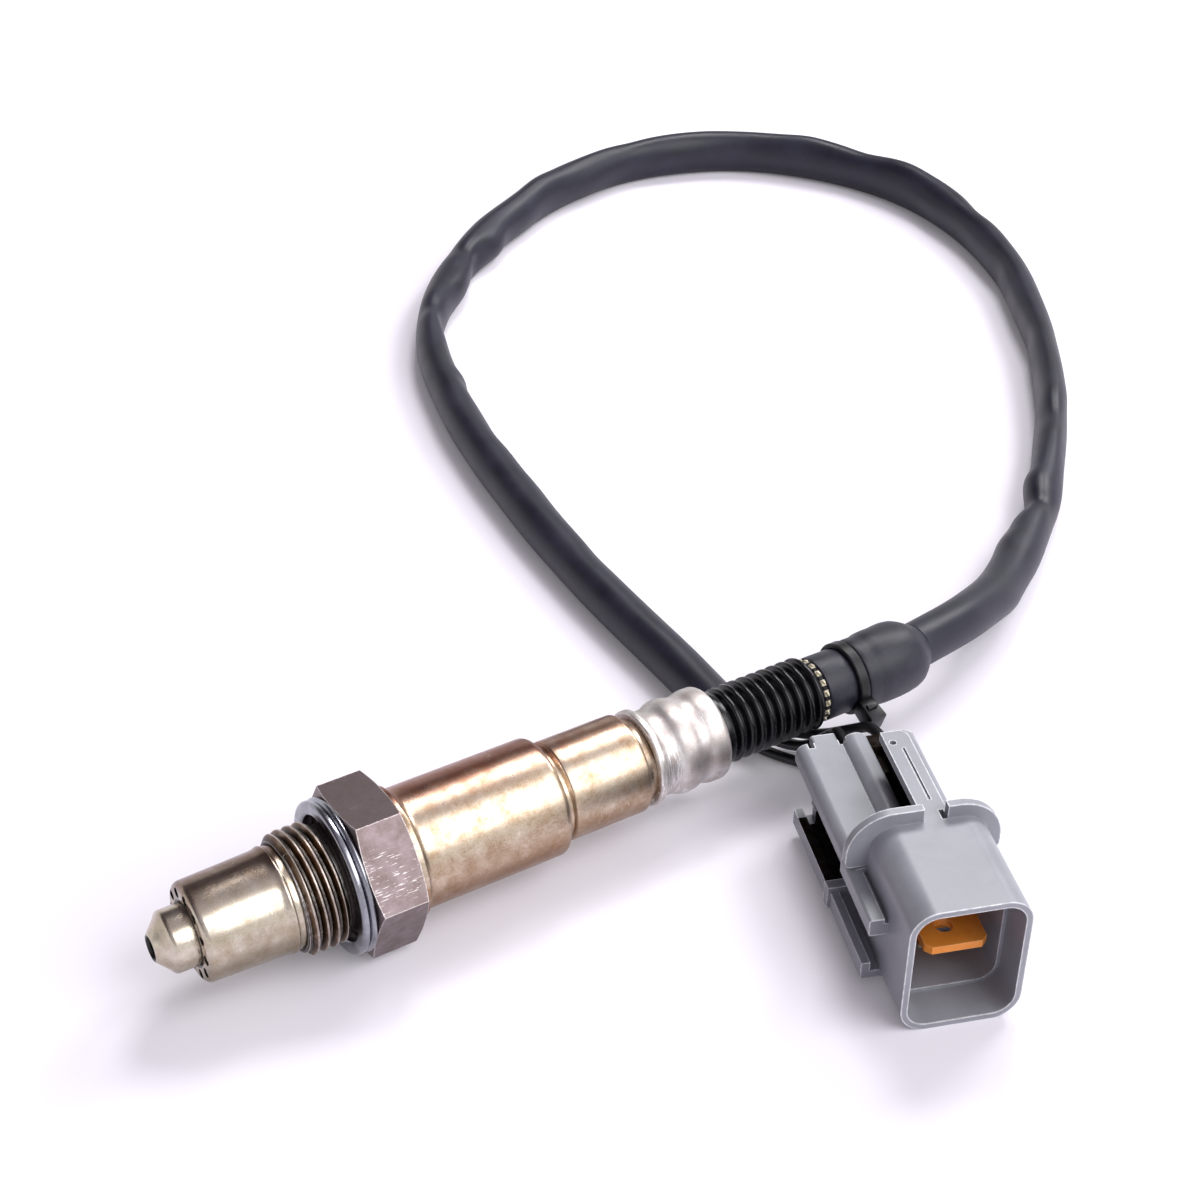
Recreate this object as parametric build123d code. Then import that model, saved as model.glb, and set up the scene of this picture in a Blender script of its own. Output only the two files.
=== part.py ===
"""Four-wire exhaust oxygen sensor with its harness and sealed connector, in millimetres.

The X axis is the sensor's own axis, from the gas inlet towards the cable. The origin lies where the
sealing ring meets the exhaust boss. The sensor, the harness and the connector lie on a flat surface.
"""
from build123d import *
import os
from math import cos, degrees, pi, radians, sin, sqrt, tan

# Fits
SLIDE_FIT = 0.05            # radial clearance of pieces that slide into each other
LOOSE_FIT = 0.15            # clearance of wires and of moulded pieces

# Threaded housing, an M18 x 1.5 plug with a 22 mm hexagon
THREAD_DIAMETER = 18.0
THREAD_LENGTH = 6.7
THREAD_LEAD_IN = 0.9
RELIEF_DIAMETER = 15.8
HEX_ACROSS_FLATS = 22.0
HEX_THICKNESS = 7.6
HEX_CHAMFER = 0.55          # depth of the rounded corners at each face
HEX_TURN = 7.34             # degrees that the hexagon lies off its flat
NECK_LENGTH = 7.0
HOUSING_BORE_RADIUS = 6.2
THROAT_RADIUS = 5.0
CRIMP_LIP = 0.8

# Sealing ring, a crush ring with two lips
RING_THICKNESS = 2.2
RING_OUTER_RADIUS = 11.4
RING_BORE_CLEARANCE = 0.25
RING_GROOVE_DEPTH = 0.8

# Protection tubes
TUBE_RADIUS_REAR = 7.6
TUBE_RADIUS_FRONT = 7.25
TUBE_WALL = 0.45
TUBE_FRONT = -20.6
TUBE_EDGE_ROUND = 0.9
TUBE_SEAT_DEPTH = 3.0
BEAD_HEIGHT = 0.2
INLET_COUNT = 12
INLET_RADIUS = 0.6
INLET_RING = 5.72
NOSE_RADIUS = 4.5
NOSE_WALL = 0.4
NOSE_SHOULDER = -23.7
NOSE_TIP = -26.1
NOSE_TIP_RADIUS = 1.95
NOSE_HOLE_RADIUS = 1.5
GAS_HOLE_COUNT = 6
GAS_HOLE_RADIUS = 0.8

# Sensing element and its packing
ELEMENT_WIDTH = 4.2
ELEMENT_THICKNESS = 1.3
ELEMENT_FRONT = -18.5
ELEMENT_REAR = 44.0
LOWER_BUSH_LENGTH = 4.6
PACKING_LENGTH = 4.8
DISC_SPRING_THICKNESS = 0.5
DISC_SPRING_DISH = 0.4

# Protective sleeve
SLEEVE_RADIUS = 9.0
SLEEVE_WALL = 0.6
COLLAR_RADIUS = 9.9
COLLAR_LENGTH = 1.4
SHOULDER_X = 33.6
SHOULDER_ROUND = 1.0
GROOVE_RADIUS = 7.1
GROOVE_LENGTH = 1.0
SECOND_RADIUS = 7.6
SECOND_END = 48.6
SPIGOT_RADIUS = 6.3
SPIGOT_LENGTH = 2.6

# Contacts
HOLDER_RADIUS = 5.6
HOLDER_START = 36.4
CLAMP_RING_WIDTH = 3.0
CLAMP_RING_START = 40.0
CONTACT_THICKNESS = 0.3
CONTACT_WIDTH = 1.2
CONTACT_SPACING = 2.9
CONTACT_SETBACK = 4.5

# Crimp ferrule and cable grommet
FERRULE_START = 50.1
FERRULE_END = 63.0
FERRULE_RADIUS = 7.45
FERRULE_WAIST = 6.95
FERRULE_WALL = 0.55
FLANGE_LENGTH = 1.6
CRIMP_BANDS = ((52.4, 54.6), (58.3, 60.2))
CRIMP_SIDE_COUNT = 8
GROMMET_FIT = 0.05

# Corrugated boot, glass sleeve, shrink tubes and tie
BOOT_START = FERRULE_END
BOOT_RIBS = 9
BOOT_PITCH = 2.0
BOOT_CREST_RADIUS = 5.85
BOOT_ROOT_RADIUS = 5.0
BOOT_BORE_RADIUS = 4.3
BRAID_WALL = 0.45
CUFF_RADIUS = 5.1
CUFF_LENGTH = 0.9
NECK_TUBE_RADIUS = 5.15
NECK_TUBE_WALL = 0.8
TIE_START = 86.6
TIE_WIDTH = 2.4
TIE_THICKNESS = 0.6
TIE_HEAD_WIDTH = 3.0
TIE_HEAD_HEIGHT = 4.0
TIE_HEAD_SPAN = 3.6
TIE_HEAD_ANGLE = 199.0      # degrees about X from +Y
TIE_TAIL = 0.9
SHRINK_START = 89.4
SHRINK_MOUTH = 5.5
SHRINK_RADIUS = 5.95
SHRINK_OVERLAP = 2.0
SHRINK_BORE = 3.5
SHRINK_STEP_X = 92.4
KNEE_X = 96.0
EXIT_LENGTH = 7.0
EXIT_RADIUS = 4.75
EXIT_YAW = 12.0             # degrees that the cable leaves to the side
EXIT_DROP = 5.0             # degrees that it leaves downwards

# Wires and harness
LEAD_DIAMETER = 1.7
LEAD_SPACING = 2.9
HARNESS_DIAMETER = 7.6
HARNESS_FIRST_RUN = 10.0
TAIL_WIRE_DIAMETER = 1.7
TAIL_WIRE_SPACING = 2.6

# Connector, in its own frame: U out of the mouth, V to the right, W up from the floor
CONNECTOR_REAR_X = 80.44    # middle of its rear face
CONNECTOR_REAR_Y = -15.78
CONNECTOR_YAW = -108.8
SHROUD_WIDTH = 17.2
SHROUD_HEIGHT = 21.6
SHROUD_DEPTH = 17.4
SHROUD_ROUND = 4.0
SHROUD_WALL = 0.95
MOUTH_DEPTH = 6.0
MOUTH_STEP = 0.5
CAVITY_DEPTH = 16.0
FLANGE_THICKNESS = 1.3
FLANGE_RISE = 2.1
FLANGE_LEFT = 11.8
FLANGE_RIGHT = 10.6
FLANGE_HEIGHT = 8.8
FLANGE_ROUND = 6.5
FLANGE_GAP_LEFT = -1.0
FLANGE_GAP_RIGHT = 2.4
FLANGE_SLIT = 0.7
HOUSING_LENGTH = 44.5
HOUSING_HALF_WIDTH = 7.6
HOUSING_FLOOR = 1.4
HOUSING_TOP = 14.6
HOUSING_ROUND = 1.6
WING_HALF_WIDTH = 10.7
WING_THICKNESS = 3.4
GUIDE_LEFT = -0.9
GUIDE_RIGHT = 3.0
GUIDE_END_U = 36.8
GUIDE_CORNER = 1.5
GUIDE_PLATE = 1.4
GUIDE_WEB_LEFT = 1.7
GUIDE_WEB_RIGHT = 2.9
GUIDE_SLOT_WIDTH = 1.6
GUIDE_SLOT_DEPTH = 4.0
GUIDE_SLOT_REAR = 37.6
GUIDE_PIT_U = 34.3
GUIDE_PIT_V = 0.2
GUIDE_PIT_RADIUS = 0.5
GUIDE_GROOVE_V = 1.3
GUIDE_GROOVE_WIDTH = 0.35
GUIDE_GROOVE_FRONT = 21.6
GUIDE_GROOVE_REAR = 32.9
SPINE_V = -1.95
SPINE_RADIUS = 2.1
SPINE_RISE = 1.3
REAR_TAB_LENGTH = 1.6
REAR_TAB_WIDTH = 3.8
REAR_TAB_V = -6.2
REAR_NOTCH = 0.9
RAIL_OUTER = 11.3
RAIL_LIP = 1.3
UPPER_RAIL_FRONT = 7.6
UPPER_RAIL_HEIGHT = 2.8
LOWER_RAIL_REAR = 41.6
LOWER_RAIL_FRONT = 9.0
LOWER_RAIL_FLOOR = 1.8
LOWER_RAIL_THICKNESS = 1.4
LOWER_RAIL_LIP_HEIGHT = 3.0
STOP_U = 23.4
STOP_WIDTH = 1.6
CATCH_U = 41.0
CATCH_WIDTH = 1.6
CATCH_TOP = 5.6
PIN_SPACING_V = 5.8
PIN_SPACING_W = 6.0
PIN_MIDDLE_V = 0.7
PIN_MIDDLE_W = 8.65
PIN_WIDTH = 1.5
PIN_THICKNESS = 0.8
PIN_TIP_U = 9.6
PIN_REAR_U = 35.0
PIN_BARREL_RADIUS = 1.05
SEAL_RADIUS = 2.3
SEAL_LENGTH = 6.5
SEAL_RIB = 0.2
LOCK_PLATE_THICKNESS = 1.3
LOCK_PLATE_WIDTH = 12.6
LOCK_PLATE_HEIGHT = 10.6
TONGUE_WIDTH = 9.0
TONGUE_V = 1.0              # middle of the tongue
TONGUE_THICKNESS = 1.3
TONGUE_TIP_U = 5.7
TONGUE_ROOT_WIDTH = 11.6
TONGUE_ROOT_U = 9.2
TONGUE_CORNER = 0.9
TONGUE_HOLE_RADIUS = 1.3
TONGUE_HOLE_U = 9.6
TONGUE_HOLE_V = 0.3

# Places that follow from the sizes above
THREAD_RADIUS = THREAD_DIAMETER / 2
HEX_CORNER_RADIUS = HEX_ACROSS_FLATS / sqrt(3)
FLOOR_Z = -HEX_CORNER_RADIUS * cos(radians(30 - HEX_TURN))
HEX_FRONT = RING_THICKNESS
HEX_BACK = HEX_FRONT + HEX_THICKNESS
NECK_END = HEX_BACK + NECK_LENGTH
NECK_RADIUS = SLEEVE_RADIUS - SLEEVE_WALL - SLIDE_FIT
TUBE_REAR = -THREAD_LENGTH + TUBE_SEAT_DEPTH
BORE_START = TUBE_REAR + NOSE_WALL + 1.6
BUSH_RADIUS = HOUSING_BORE_RADIUS - SLIDE_FIT
PACKING_START = BORE_START + LOWER_BUSH_LENGTH
UPPER_BUSH_START = PACKING_START + PACKING_LENGTH
LIP_START = NECK_END - CRIMP_LIP
DISC_SPRING_HEIGHT = DISC_SPRING_THICKNESS + DISC_SPRING_DISH
UPPER_BUSH_END = LIP_START - DISC_SPRING_HEIGHT
SPIGOT_END = SECOND_END + 0.7 + SPIGOT_LENGTH
CONTACT_REAR = SPIGOT_END - CONTACT_SETBACK
FERRULE_BORE = FERRULE_WAIST - FERRULE_WALL
BOOT_END = BOOT_START + BOOT_RIBS * BOOT_PITCH + 0.4
CUFF_START = BOOT_END
NECK_TUBE_START = CUFF_START + CUFF_LENGTH
NECK_TUBE_END = SHRINK_START + SHRINK_OVERLAP
HARNESS_Z = FLOOR_Z + HARNESS_DIAMETER / 2
WIRE_Z = FLOOR_Z + TAIL_WIRE_DIAMETER / 2
EXIT_DIRECTION = Vector(cos(radians(EXIT_YAW)) * cos(radians(EXIT_DROP)),
                        sin(radians(EXIT_YAW)) * cos(radians(EXIT_DROP)),
                        -sin(radians(EXIT_DROP)))
EXIT_POINT = Vector(KNEE_X, 0, 0) + EXIT_DIRECTION * EXIT_LENGTH
CONNECTOR_DIRECTION = Vector(cos(radians(CONNECTOR_YAW)), sin(radians(CONNECTOR_YAW)), 0)
CONNECTOR_PLANE = Plane(
    origin=Vector(CONNECTOR_REAR_X, CONNECTOR_REAR_Y, FLOOR_Z) + CONNECTOR_DIRECTION * HOUSING_LENGTH,
    x_dir=CONNECTOR_DIRECTION, z_dir=(0, 0, 1))

# The harness sleeve's route over the floor, out of the shrink boot and round to the sensor's tail
HARNESS_ROUTE = [
    EXIT_POINT,
    EXIT_POINT + EXIT_DIRECTION * HARNESS_FIRST_RUN,
    Vector(121.8, 7.4, -3.7),
    Vector(131.8, 13.2, -6.5),
    Vector(146, 23, HARNESS_Z),
    Vector(163, 37.5, HARNESS_Z),
    Vector(182, 59, HARNESS_Z),
    Vector(199, 84.5, HARNESS_Z),
    Vector(211, 111, HARNESS_Z),
    Vector(215, 139, HARNESS_Z),
    Vector(208, 163, HARNESS_Z),
    Vector(190, 183, HARNESS_Z),
    Vector(162, 190.5, HARNESS_Z),
    Vector(132, 181, HARNESS_Z),
    Vector(106, 163, HARNESS_Z),
    Vector(88.5, 142, HARNESS_Z),
    Vector(80.5, 116, HARNESS_Z),
    Vector(76, 88, HARNESS_Z),
    Vector(73.8, 62, HARNESS_Z),
    Vector(73.2, 42, HARNESS_Z),
    Vector(73.6, 24, HARNESS_Z),
    Vector(73.2, 12.2, HARNESS_Z),
]


def turned(outline, rounds=()):
    """Solid turned about X from a closed outline of (x, radius); rounds holds (point index, radius)."""
    face = make_face(Polyline(*outline, close=True))
    for index, size in rounds:
        corner = face.vertices().sort_by_distance(Vector(*outline[index], 0))[0]
        face = fillet(corner, size)
    return revolve(face, Axis.X)


def tube(start, end, outer, inner):
    """Straight round tube along X."""
    return turned([(start, inner), (end, inner), (end, outer), (start, outer)])


def rod(start, end, radius, y=0.0, z=0.0):
    """Straight round bar along X at the given place."""
    return Pos(start, y, z) * extrude(Plane.YZ * Circle(radius), end - start)


def block(u0, u1, v0, v1, w0, w1):
    """Box between two corners."""
    return Pos((u0 + u1) / 2, (v0 + v1) / 2, (w0 + w1) / 2) * Box(u1 - u0, v1 - v0, w1 - w0)


def prism(u0, u1, outline, rounds=()):
    """Bar along the first axis with a closed (v, w) outline; rounds holds (point index, radius)."""
    face = make_face(Polyline(*outline, close=True))
    for index, size in rounds:
        corner = face.vertices().sort_by_distance(Vector(*outline[index], 0))[0]
        face = fillet(corner, size)
    return extrude(Plane.YZ.offset(u0) * face, u1 - u0)


def rounded_bar(u0, u1, width, height, corner, v=0.0, w=0.0):
    """Bar along the first axis with a rounded rectangular section that stands on height w."""
    return extrude(Plane.YZ.offset(u0) * Pos(v, w + height / 2) * RectangleRounded(width, height, corner),
                   u1 - u0)


def four_places(spacing):
    """The four (y, z) corners of a square of that spacing."""
    half = spacing / 2
    return [(-half, half), (half, half), (-half, -half), (half, -half)]


# ---- sensor ------------------------------------------------------------------------------------

def corner_dome(face, side):
    """Ball that rounds the hexagon's corners down to a circle at one of its faces."""
    flat = HEX_ACROSS_FLATS / 2 + 0.15
    corner = HEX_CORNER_RADIUS + 0.1
    depth = (corner ** 2 - flat ** 2 + HEX_CHAMFER ** 2) / (2 * HEX_CHAMFER)
    return Pos(face + side * depth, 0, 0) * Rot(0, 0, 90 * side - 90) * Sphere(sqrt(depth ** 2 + flat ** 2))


def hex_housing():
    """Threaded plug with its hexagon, its rear neck and the stepped bore that holds the packing."""
    shank = turned([
        (-THREAD_LENGTH, 0), (-THREAD_LENGTH, THREAD_RADIUS - THREAD_LEAD_IN),
        (-THREAD_LENGTH + THREAD_LEAD_IN, THREAD_RADIUS), (0, THREAD_RADIUS),
        (0, RELIEF_DIAMETER / 2), (HEX_FRONT + 0.2, RELIEF_DIAMETER / 2),
        (HEX_FRONT + 0.2, 5), (HEX_BACK - 0.2, 5), (HEX_BACK - 0.2, NECK_RADIUS),
        (NECK_END, NECK_RADIUS), (NECK_END, 0)], rounds=[(9, 0.5)])
    hexagon = extrude(Plane.YZ.offset(HEX_FRONT) * RegularPolygon(HEX_CORNER_RADIUS, 6, rotation=-HEX_TURN),
                      HEX_THICKNESS)
    barrel = corner_dome(HEX_FRONT, 1) & corner_dome(HEX_BACK, -1)
    bore = turned([
        (-THREAD_LENGTH, 0), (-THREAD_LENGTH, TUBE_RADIUS_REAR + SLIDE_FIT),
        (TUBE_REAR + NOSE_WALL, TUBE_RADIUS_REAR + SLIDE_FIT), (TUBE_REAR + NOSE_WALL, THROAT_RADIUS),
        (BORE_START, THROAT_RADIUS), (BORE_START, HOUSING_BORE_RADIUS),
        (LIP_START, HOUSING_BORE_RADIUS), (LIP_START, HOUSING_BORE_RADIUS - CRIMP_LIP),
        (NECK_END, HOUSING_BORE_RADIUS - CRIMP_LIP), (NECK_END, 0)])
    return shank + (hexagon & barrel) - bore


def sealing_ring():
    """Crush ring that floats on the relief under the hexagon, with a groove between its two lips."""
    inner = THREAD_RADIUS + RING_BORE_CLEARANCE
    outer = RING_OUTER_RADIUS
    middle = RING_THICKNESS / 2
    return turned([
        (0, inner + 0.3), (0.25, inner), (RING_THICKNESS - 0.25, inner), (RING_THICKNESS, inner + 0.3),
        (RING_THICKNESS, outer - 0.35), (RING_THICKNESS - 0.3, outer),
        (middle + 0.25, outer), (middle, outer - RING_GROOVE_DEPTH),
        (middle - 0.25, outer - 0.25), (0.3, outer - 0.25), (0, outer - 0.6)])


def outer_protection_tube():
    """Deep-drawn outer tube with a rolled front edge, a bead and a ring of gas holes in its face."""
    front, rear = TUBE_FRONT, TUBE_REAR
    bead = -THREAD_LENGTH - 1.3
    opening = NOSE_RADIUS + SLIDE_FIT
    shell = turned([
        (front, opening), (front, TUBE_RADIUS_FRONT), (bead - 0.5, TUBE_RADIUS_REAR),
        (bead - 0.3, TUBE_RADIUS_REAR + BEAD_HEIGHT), (bead + 0.4, TUBE_RADIUS_REAR + BEAD_HEIGHT),
        (bead + 0.6, TUBE_RADIUS_REAR), (rear, TUBE_RADIUS_REAR), (rear, TUBE_RADIUS_REAR - TUBE_WALL),
        (bead, TUBE_RADIUS_REAR - TUBE_WALL), (front + TUBE_WALL, TUBE_RADIUS_FRONT - TUBE_WALL),
        (front + TUBE_WALL, opening)], rounds=[(1, TUBE_EDGE_ROUND), (9, TUBE_EDGE_ROUND - TUBE_WALL)])
    hole = rod(front - 1, front + TUBE_WALL + 0.5, INLET_RADIUS, INLET_RING, 0)
    for step in range(INLET_COUNT):
        shell -= Rot(360 * step / INLET_COUNT, 0, 0) * hole
    return shell


def inner_protection_tube():
    """Inner tube with the nose that stands out of the outer tube, its gas hole and its side holes."""
    wall, rear, flange = NOSE_WALL, TUBE_REAR, TUBE_RADIUS_REAR - SLIDE_FIT
    shell = turned([
        (NOSE_TIP, NOSE_HOLE_RADIUS), (NOSE_TIP, NOSE_TIP_RADIUS), (NOSE_SHOULDER, NOSE_RADIUS),
        (rear, NOSE_RADIUS), (rear, flange), (rear + wall, flange),
        (rear + wall, NOSE_RADIUS - wall), (NOSE_SHOULDER + 0.15, NOSE_RADIUS - wall),
        (NOSE_TIP + wall, NOSE_HOLE_RADIUS + 0.1), (NOSE_TIP + wall, NOSE_HOLE_RADIUS)],
        rounds=[(2, 0.6)])
    hole = Pos(rear - 3, 0, 0) * extrude(Circle(GAS_HOLE_RADIUS), NOSE_RADIUS + 1)
    for step in range(GAS_HOLE_COUNT):
        shell -= Rot(360 * step / GAS_HOLE_COUNT, 0, 0) * hole
    return shell


def element_slot(start, end, clearance):
    """The room that the flat element takes in the piece that it passes through."""
    return block(start, end, -ELEMENT_WIDTH / 2 - clearance, ELEMENT_WIDTH / 2 + clearance,
                 -ELEMENT_THICKNESS / 2 - clearance, ELEMENT_THICKNESS / 2 + clearance)


def sensing_element():
    """Flat zirconia bar."""
    return element_slot(ELEMENT_FRONT, ELEMENT_REAR, 0)


def packed_ring(start, end, clearance):
    """Round piece in the housing's bore with the element's slot through it."""
    return rod(start, end, BUSH_RADIUS) - element_slot(start - 1, end + 1, clearance)


def disc_spring():
    """Dished washer between the upper bush and the rolled lip."""
    front, inner, outer = UPPER_BUSH_END, 3.2, BUSH_RADIUS - 0.1
    step = DISC_SPRING_THICKNESS
    return turned([(front, inner), (front + step, inner), (front + DISC_SPRING_HEIGHT, outer),
                   (front + DISC_SPRING_DISH, outer)])


def protective_sleeve():
    """Welded sleeve: collar, large section, rolled groove, second section and the ferrule's spigot."""
    start, wall = HEX_BACK, SLEEVE_WALL
    groove = SHOULDER_X + SHOULDER_ROUND + 0.2
    second = groove + GROOVE_LENGTH + 0.6
    spigot = SECOND_END + 0.7
    return turned([
        (start, SLEEVE_RADIUS - wall), (start, COLLAR_RADIUS), (start + COLLAR_LENGTH, COLLAR_RADIUS),
        (start + COLLAR_LENGTH + 0.5, SLEEVE_RADIUS), (SHOULDER_X, SLEEVE_RADIUS),
        (groove, GROOVE_RADIUS), (groove + GROOVE_LENGTH, GROOVE_RADIUS),
        (second, SECOND_RADIUS), (SECOND_END, SECOND_RADIUS), (spigot, SPIGOT_RADIUS),
        (SPIGOT_END, SPIGOT_RADIUS), (SPIGOT_END, SPIGOT_RADIUS - wall),
        (spigot - 0.3, SPIGOT_RADIUS - wall),
        (SECOND_END - 0.3, SECOND_RADIUS - wall), (second + 0.3, SECOND_RADIUS - wall),
        (groove + GROOVE_LENGTH + 0.3, GROOVE_RADIUS - wall), (groove - 0.3, GROOVE_RADIUS - wall),
        (SHOULDER_X - 0.3, SLEEVE_RADIUS - wall)],
        rounds=[(2, 0.4), (4, SHOULDER_ROUND), (7, 0.4), (8, 0.4)])


def contact_holder():
    """Ceramic holder with the element's slot and the four contact channels."""
    holder = rod(HOLDER_START, SPIGOT_END, HOLDER_RADIUS)
    holder -= element_slot(HOLDER_START - 1, ELEMENT_REAR + 0.3, LOOSE_FIT)
    half = CONTACT_SPACING / 2
    for side in (-1, 1):
        for level in (-1, 1):
            y = side * half
            holder -= block(HOLDER_START - 1, CONTACT_REAR + 0.2, y - CONTACT_WIDTH / 2 - LOOSE_FIT,
                            y + CONTACT_WIDTH / 2 + LOOSE_FIT, min(0, level * (half + 0.5)),
                            max(0, level * (half + 0.5)))
            holder -= rod(CONTACT_REAR, SPIGOT_END + 1, LEAD_DIAMETER / 2 + LOOSE_FIT, y, level * half)
    return holder


def contact_spring(side, level):
    """Leaf that bears on the element and ends at its lead."""
    near = ELEMENT_THICKNESS / 2
    half = CONTACT_SPACING / 2
    line = [(HOLDER_START + 1, half - 0.1), (HOLDER_START + 4.5, near), (HOLDER_START + 6, near),
            (CONTACT_REAR - 3, half - 0.1), (CONTACT_REAR, half - 0.1)]
    back = [(x, z + CONTACT_THICKNESS) for x, z in reversed(line)]
    face = make_face(Polyline(*line, *back, close=True))
    leaf = extrude(Plane.XZ * face, CONTACT_WIDTH / 2, both=True)
    if level < 0:
        leaf = Rot(180, 0, 0) * leaf
    return Pos(0, side * CONTACT_SPACING / 2, 0) * leaf


def holder_clamp_ring():
    """Sprung ring between the holder and the sleeve."""
    return tube(CLAMP_RING_START, CLAMP_RING_START + CLAMP_RING_WIDTH,
                SECOND_RADIUS - SLEEVE_WALL - SLIDE_FIT, HOLDER_RADIUS + SLIDE_FIT)


def cable_grommet():
    """Rubber plug with four wire holes, squeezed by the ferrule."""
    grommet = rod(SPIGOT_END, FERRULE_END - 0.6, FERRULE_BORE - GROMMET_FIT)
    for y, z in four_places(LEAD_SPACING):
        grommet -= rod(SPIGOT_END - 1, FERRULE_END, LEAD_DIAMETER / 2 + SLIDE_FIT, y, z)
    return grommet


def crimp_ferrule():
    """Drawn cap over the grommet with a front flange and two bands pressed in flats."""
    start, end, top = FERRULE_START, FERRULE_END, FERRULE_RADIUS - 0.2
    first, second = CRIMP_BANDS
    shell = turned([
        (start, FERRULE_BORE), (start, FERRULE_RADIUS), (start + FLANGE_LENGTH, FERRULE_RADIUS),
        (first[0], FERRULE_WAIST + 0.15), (first[1], FERRULE_WAIST + 0.15), (first[1] + 0.8, top),
        (second[0] - 0.8, top), (second[0], FERRULE_WAIST + 0.2), (second[1], FERRULE_WAIST + 0.2),
        (second[1] + 0.8, top), (end - 0.6, top), (end, FERRULE_BORE + 0.3),
        (end, BOOT_ROOT_RADIUS - 0.2), (end - 0.5, BOOT_ROOT_RADIUS - 0.2), (end - 0.5, FERRULE_BORE)],
        rounds=[(1, 0.3), (2, 0.4)])
    for low, high in CRIMP_BANDS:
        length = high - low
        ring = rod(low, high, FERRULE_RADIUS + 1)
        flats = extrude(Plane.YZ.offset(low) * RegularPolygon(FERRULE_WAIST - 0.02, CRIMP_SIDE_COUNT,
                                                              major_radius=False), length)
        shell -= ring - flats
    return shell


# ---- tail --------------------------------------------------------------------------------------

def corrugated_boot():
    """Rubber boot with rounded ribs over the leads."""
    crest = BOOT_PITCH * 0.24
    outline = [(BOOT_START, BOOT_BORE_RADIUS), (BOOT_START, BOOT_ROOT_RADIUS)]
    for rib in range(BOOT_RIBS):
        middle = BOOT_START + BOOT_PITCH * (rib + 0.5) + 0.1
        outline += [(middle - crest - 0.3, BOOT_ROOT_RADIUS), (middle - crest, BOOT_CREST_RADIUS - 0.15),
                    (middle - crest * 0.45, BOOT_CREST_RADIUS), (middle + crest * 0.45, BOOT_CREST_RADIUS),
                    (middle + crest, BOOT_CREST_RADIUS - 0.15), (middle + crest + 0.3, BOOT_ROOT_RADIUS)]
    outline += [(BOOT_END, BOOT_ROOT_RADIUS), (BOOT_END, BOOT_BORE_RADIUS)]
    return turned(outline)


def glass_braid_sleeve():
    """Woven sleeve inside the boot, folded back as a cuff where it comes out."""
    outer = BOOT_BORE_RADIUS - SLIDE_FIT
    inner = outer - BRAID_WALL
    return turned([
        (FERRULE_END + 0.2, inner), (NECK_TUBE_START, inner), (NECK_TUBE_START, CUFF_RADIUS),
        (CUFF_START, CUFF_RADIUS), (CUFF_START, outer), (FERRULE_END + 0.2, outer)],
        rounds=[(2, 0.3), (3, 0.3)])


def shrink_neck():
    """Shrink tube over the leads between the braid and the shrink boot."""
    return tube(NECK_TUBE_START, NECK_TUBE_END, NECK_TUBE_RADIUS, NECK_TUBE_RADIUS - NECK_TUBE_WALL)


def cable_tie():
    """Strap round the neck with its square head and the cut end of its tail."""
    inner = NECK_TUBE_RADIUS + SLIDE_FIT
    outer = inner + TIE_THICKNESS
    middle = TIE_START + TIE_WIDTH / 2
    band = tube(TIE_START, TIE_START + TIE_WIDTH, outer, inner)
    head = Pos(middle, outer + TIE_HEAD_HEIGHT / 2 - 0.3, 0) * Box(
        TIE_HEAD_WIDTH, TIE_HEAD_HEIGHT, TIE_HEAD_SPAN)
    head = chamfer(head.edges().filter_by(Axis.X), 0.5)
    tail = Pos(middle, outer + TIE_HEAD_HEIGHT * 0.45, -TIE_HEAD_SPAN / 2 - TIE_TAIL / 2 + 0.1) * Box(
        TIE_WIDTH, TIE_THICKNESS * 1.6, TIE_TAIL + 0.2)
    bore = rod(TIE_START - 2, TIE_START + TIE_WIDTH + 2, inner)
    return band + (Rot(TIE_HEAD_ANGLE, 0, 0) * (head + tail) - bore)


def shrink_boot():
    """Moulded shrink boot with a knee, which joins the neck to the harness sleeve."""
    bore = NECK_TUBE_RADIUS + SLIDE_FIT
    front = turned([
        (SHRINK_START, 0), (SHRINK_START, SHRINK_MOUTH), (SHRINK_STEP_X, SHRINK_MOUTH + 0.1),
        (SHRINK_STEP_X + 0.6, SHRINK_RADIUS), (KNEE_X, SHRINK_RADIUS), (KNEE_X, 0)], rounds=[(1, 0.25)])
    rear = turned([
        (0, 0), (0, SHRINK_RADIUS), (EXIT_LENGTH * 0.62, SHRINK_RADIUS), (EXIT_LENGTH, EXIT_RADIUS),
        (EXIT_LENGTH, 0)], rounds=[(2, 1.6)])
    upward = EXIT_DIRECTION.cross(Vector(0, 0, 1).cross(EXIT_DIRECTION))
    place = Plane(origin=(KNEE_X, 0, 0), x_dir=EXIT_DIRECTION, z_dir=upward)
    hollow = rod(SHRINK_START - 1, NECK_TUBE_END, bore) + rod(NECK_TUBE_END - 0.5, KNEE_X, SHRINK_BORE)
    hollow += Pos(KNEE_X, 0, 0) * Sphere(SHRINK_BORE)
    hollow += place.location * rod(0, EXIT_LENGTH + 1, SHRINK_BORE)
    return front + Pos(KNEE_X, 0, 0) * Sphere(SHRINK_RADIUS) + place.location * rear - hollow


def turn_at(before, point, after):
    """Degrees that a route turns at a point."""
    return (point - before).get_angle(after - point)


def bend_radii(route):
    """The largest radius that each corner's two runs leave room for."""
    radii = []
    for before, point, after in zip(route, route[1:], route[2:]):
        shorter = min((point - before).length, (after - point).length)
        radii.append(0.45 * shorter / tan(radians(turn_at(before, point, after) / 2)))
    return radii


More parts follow.
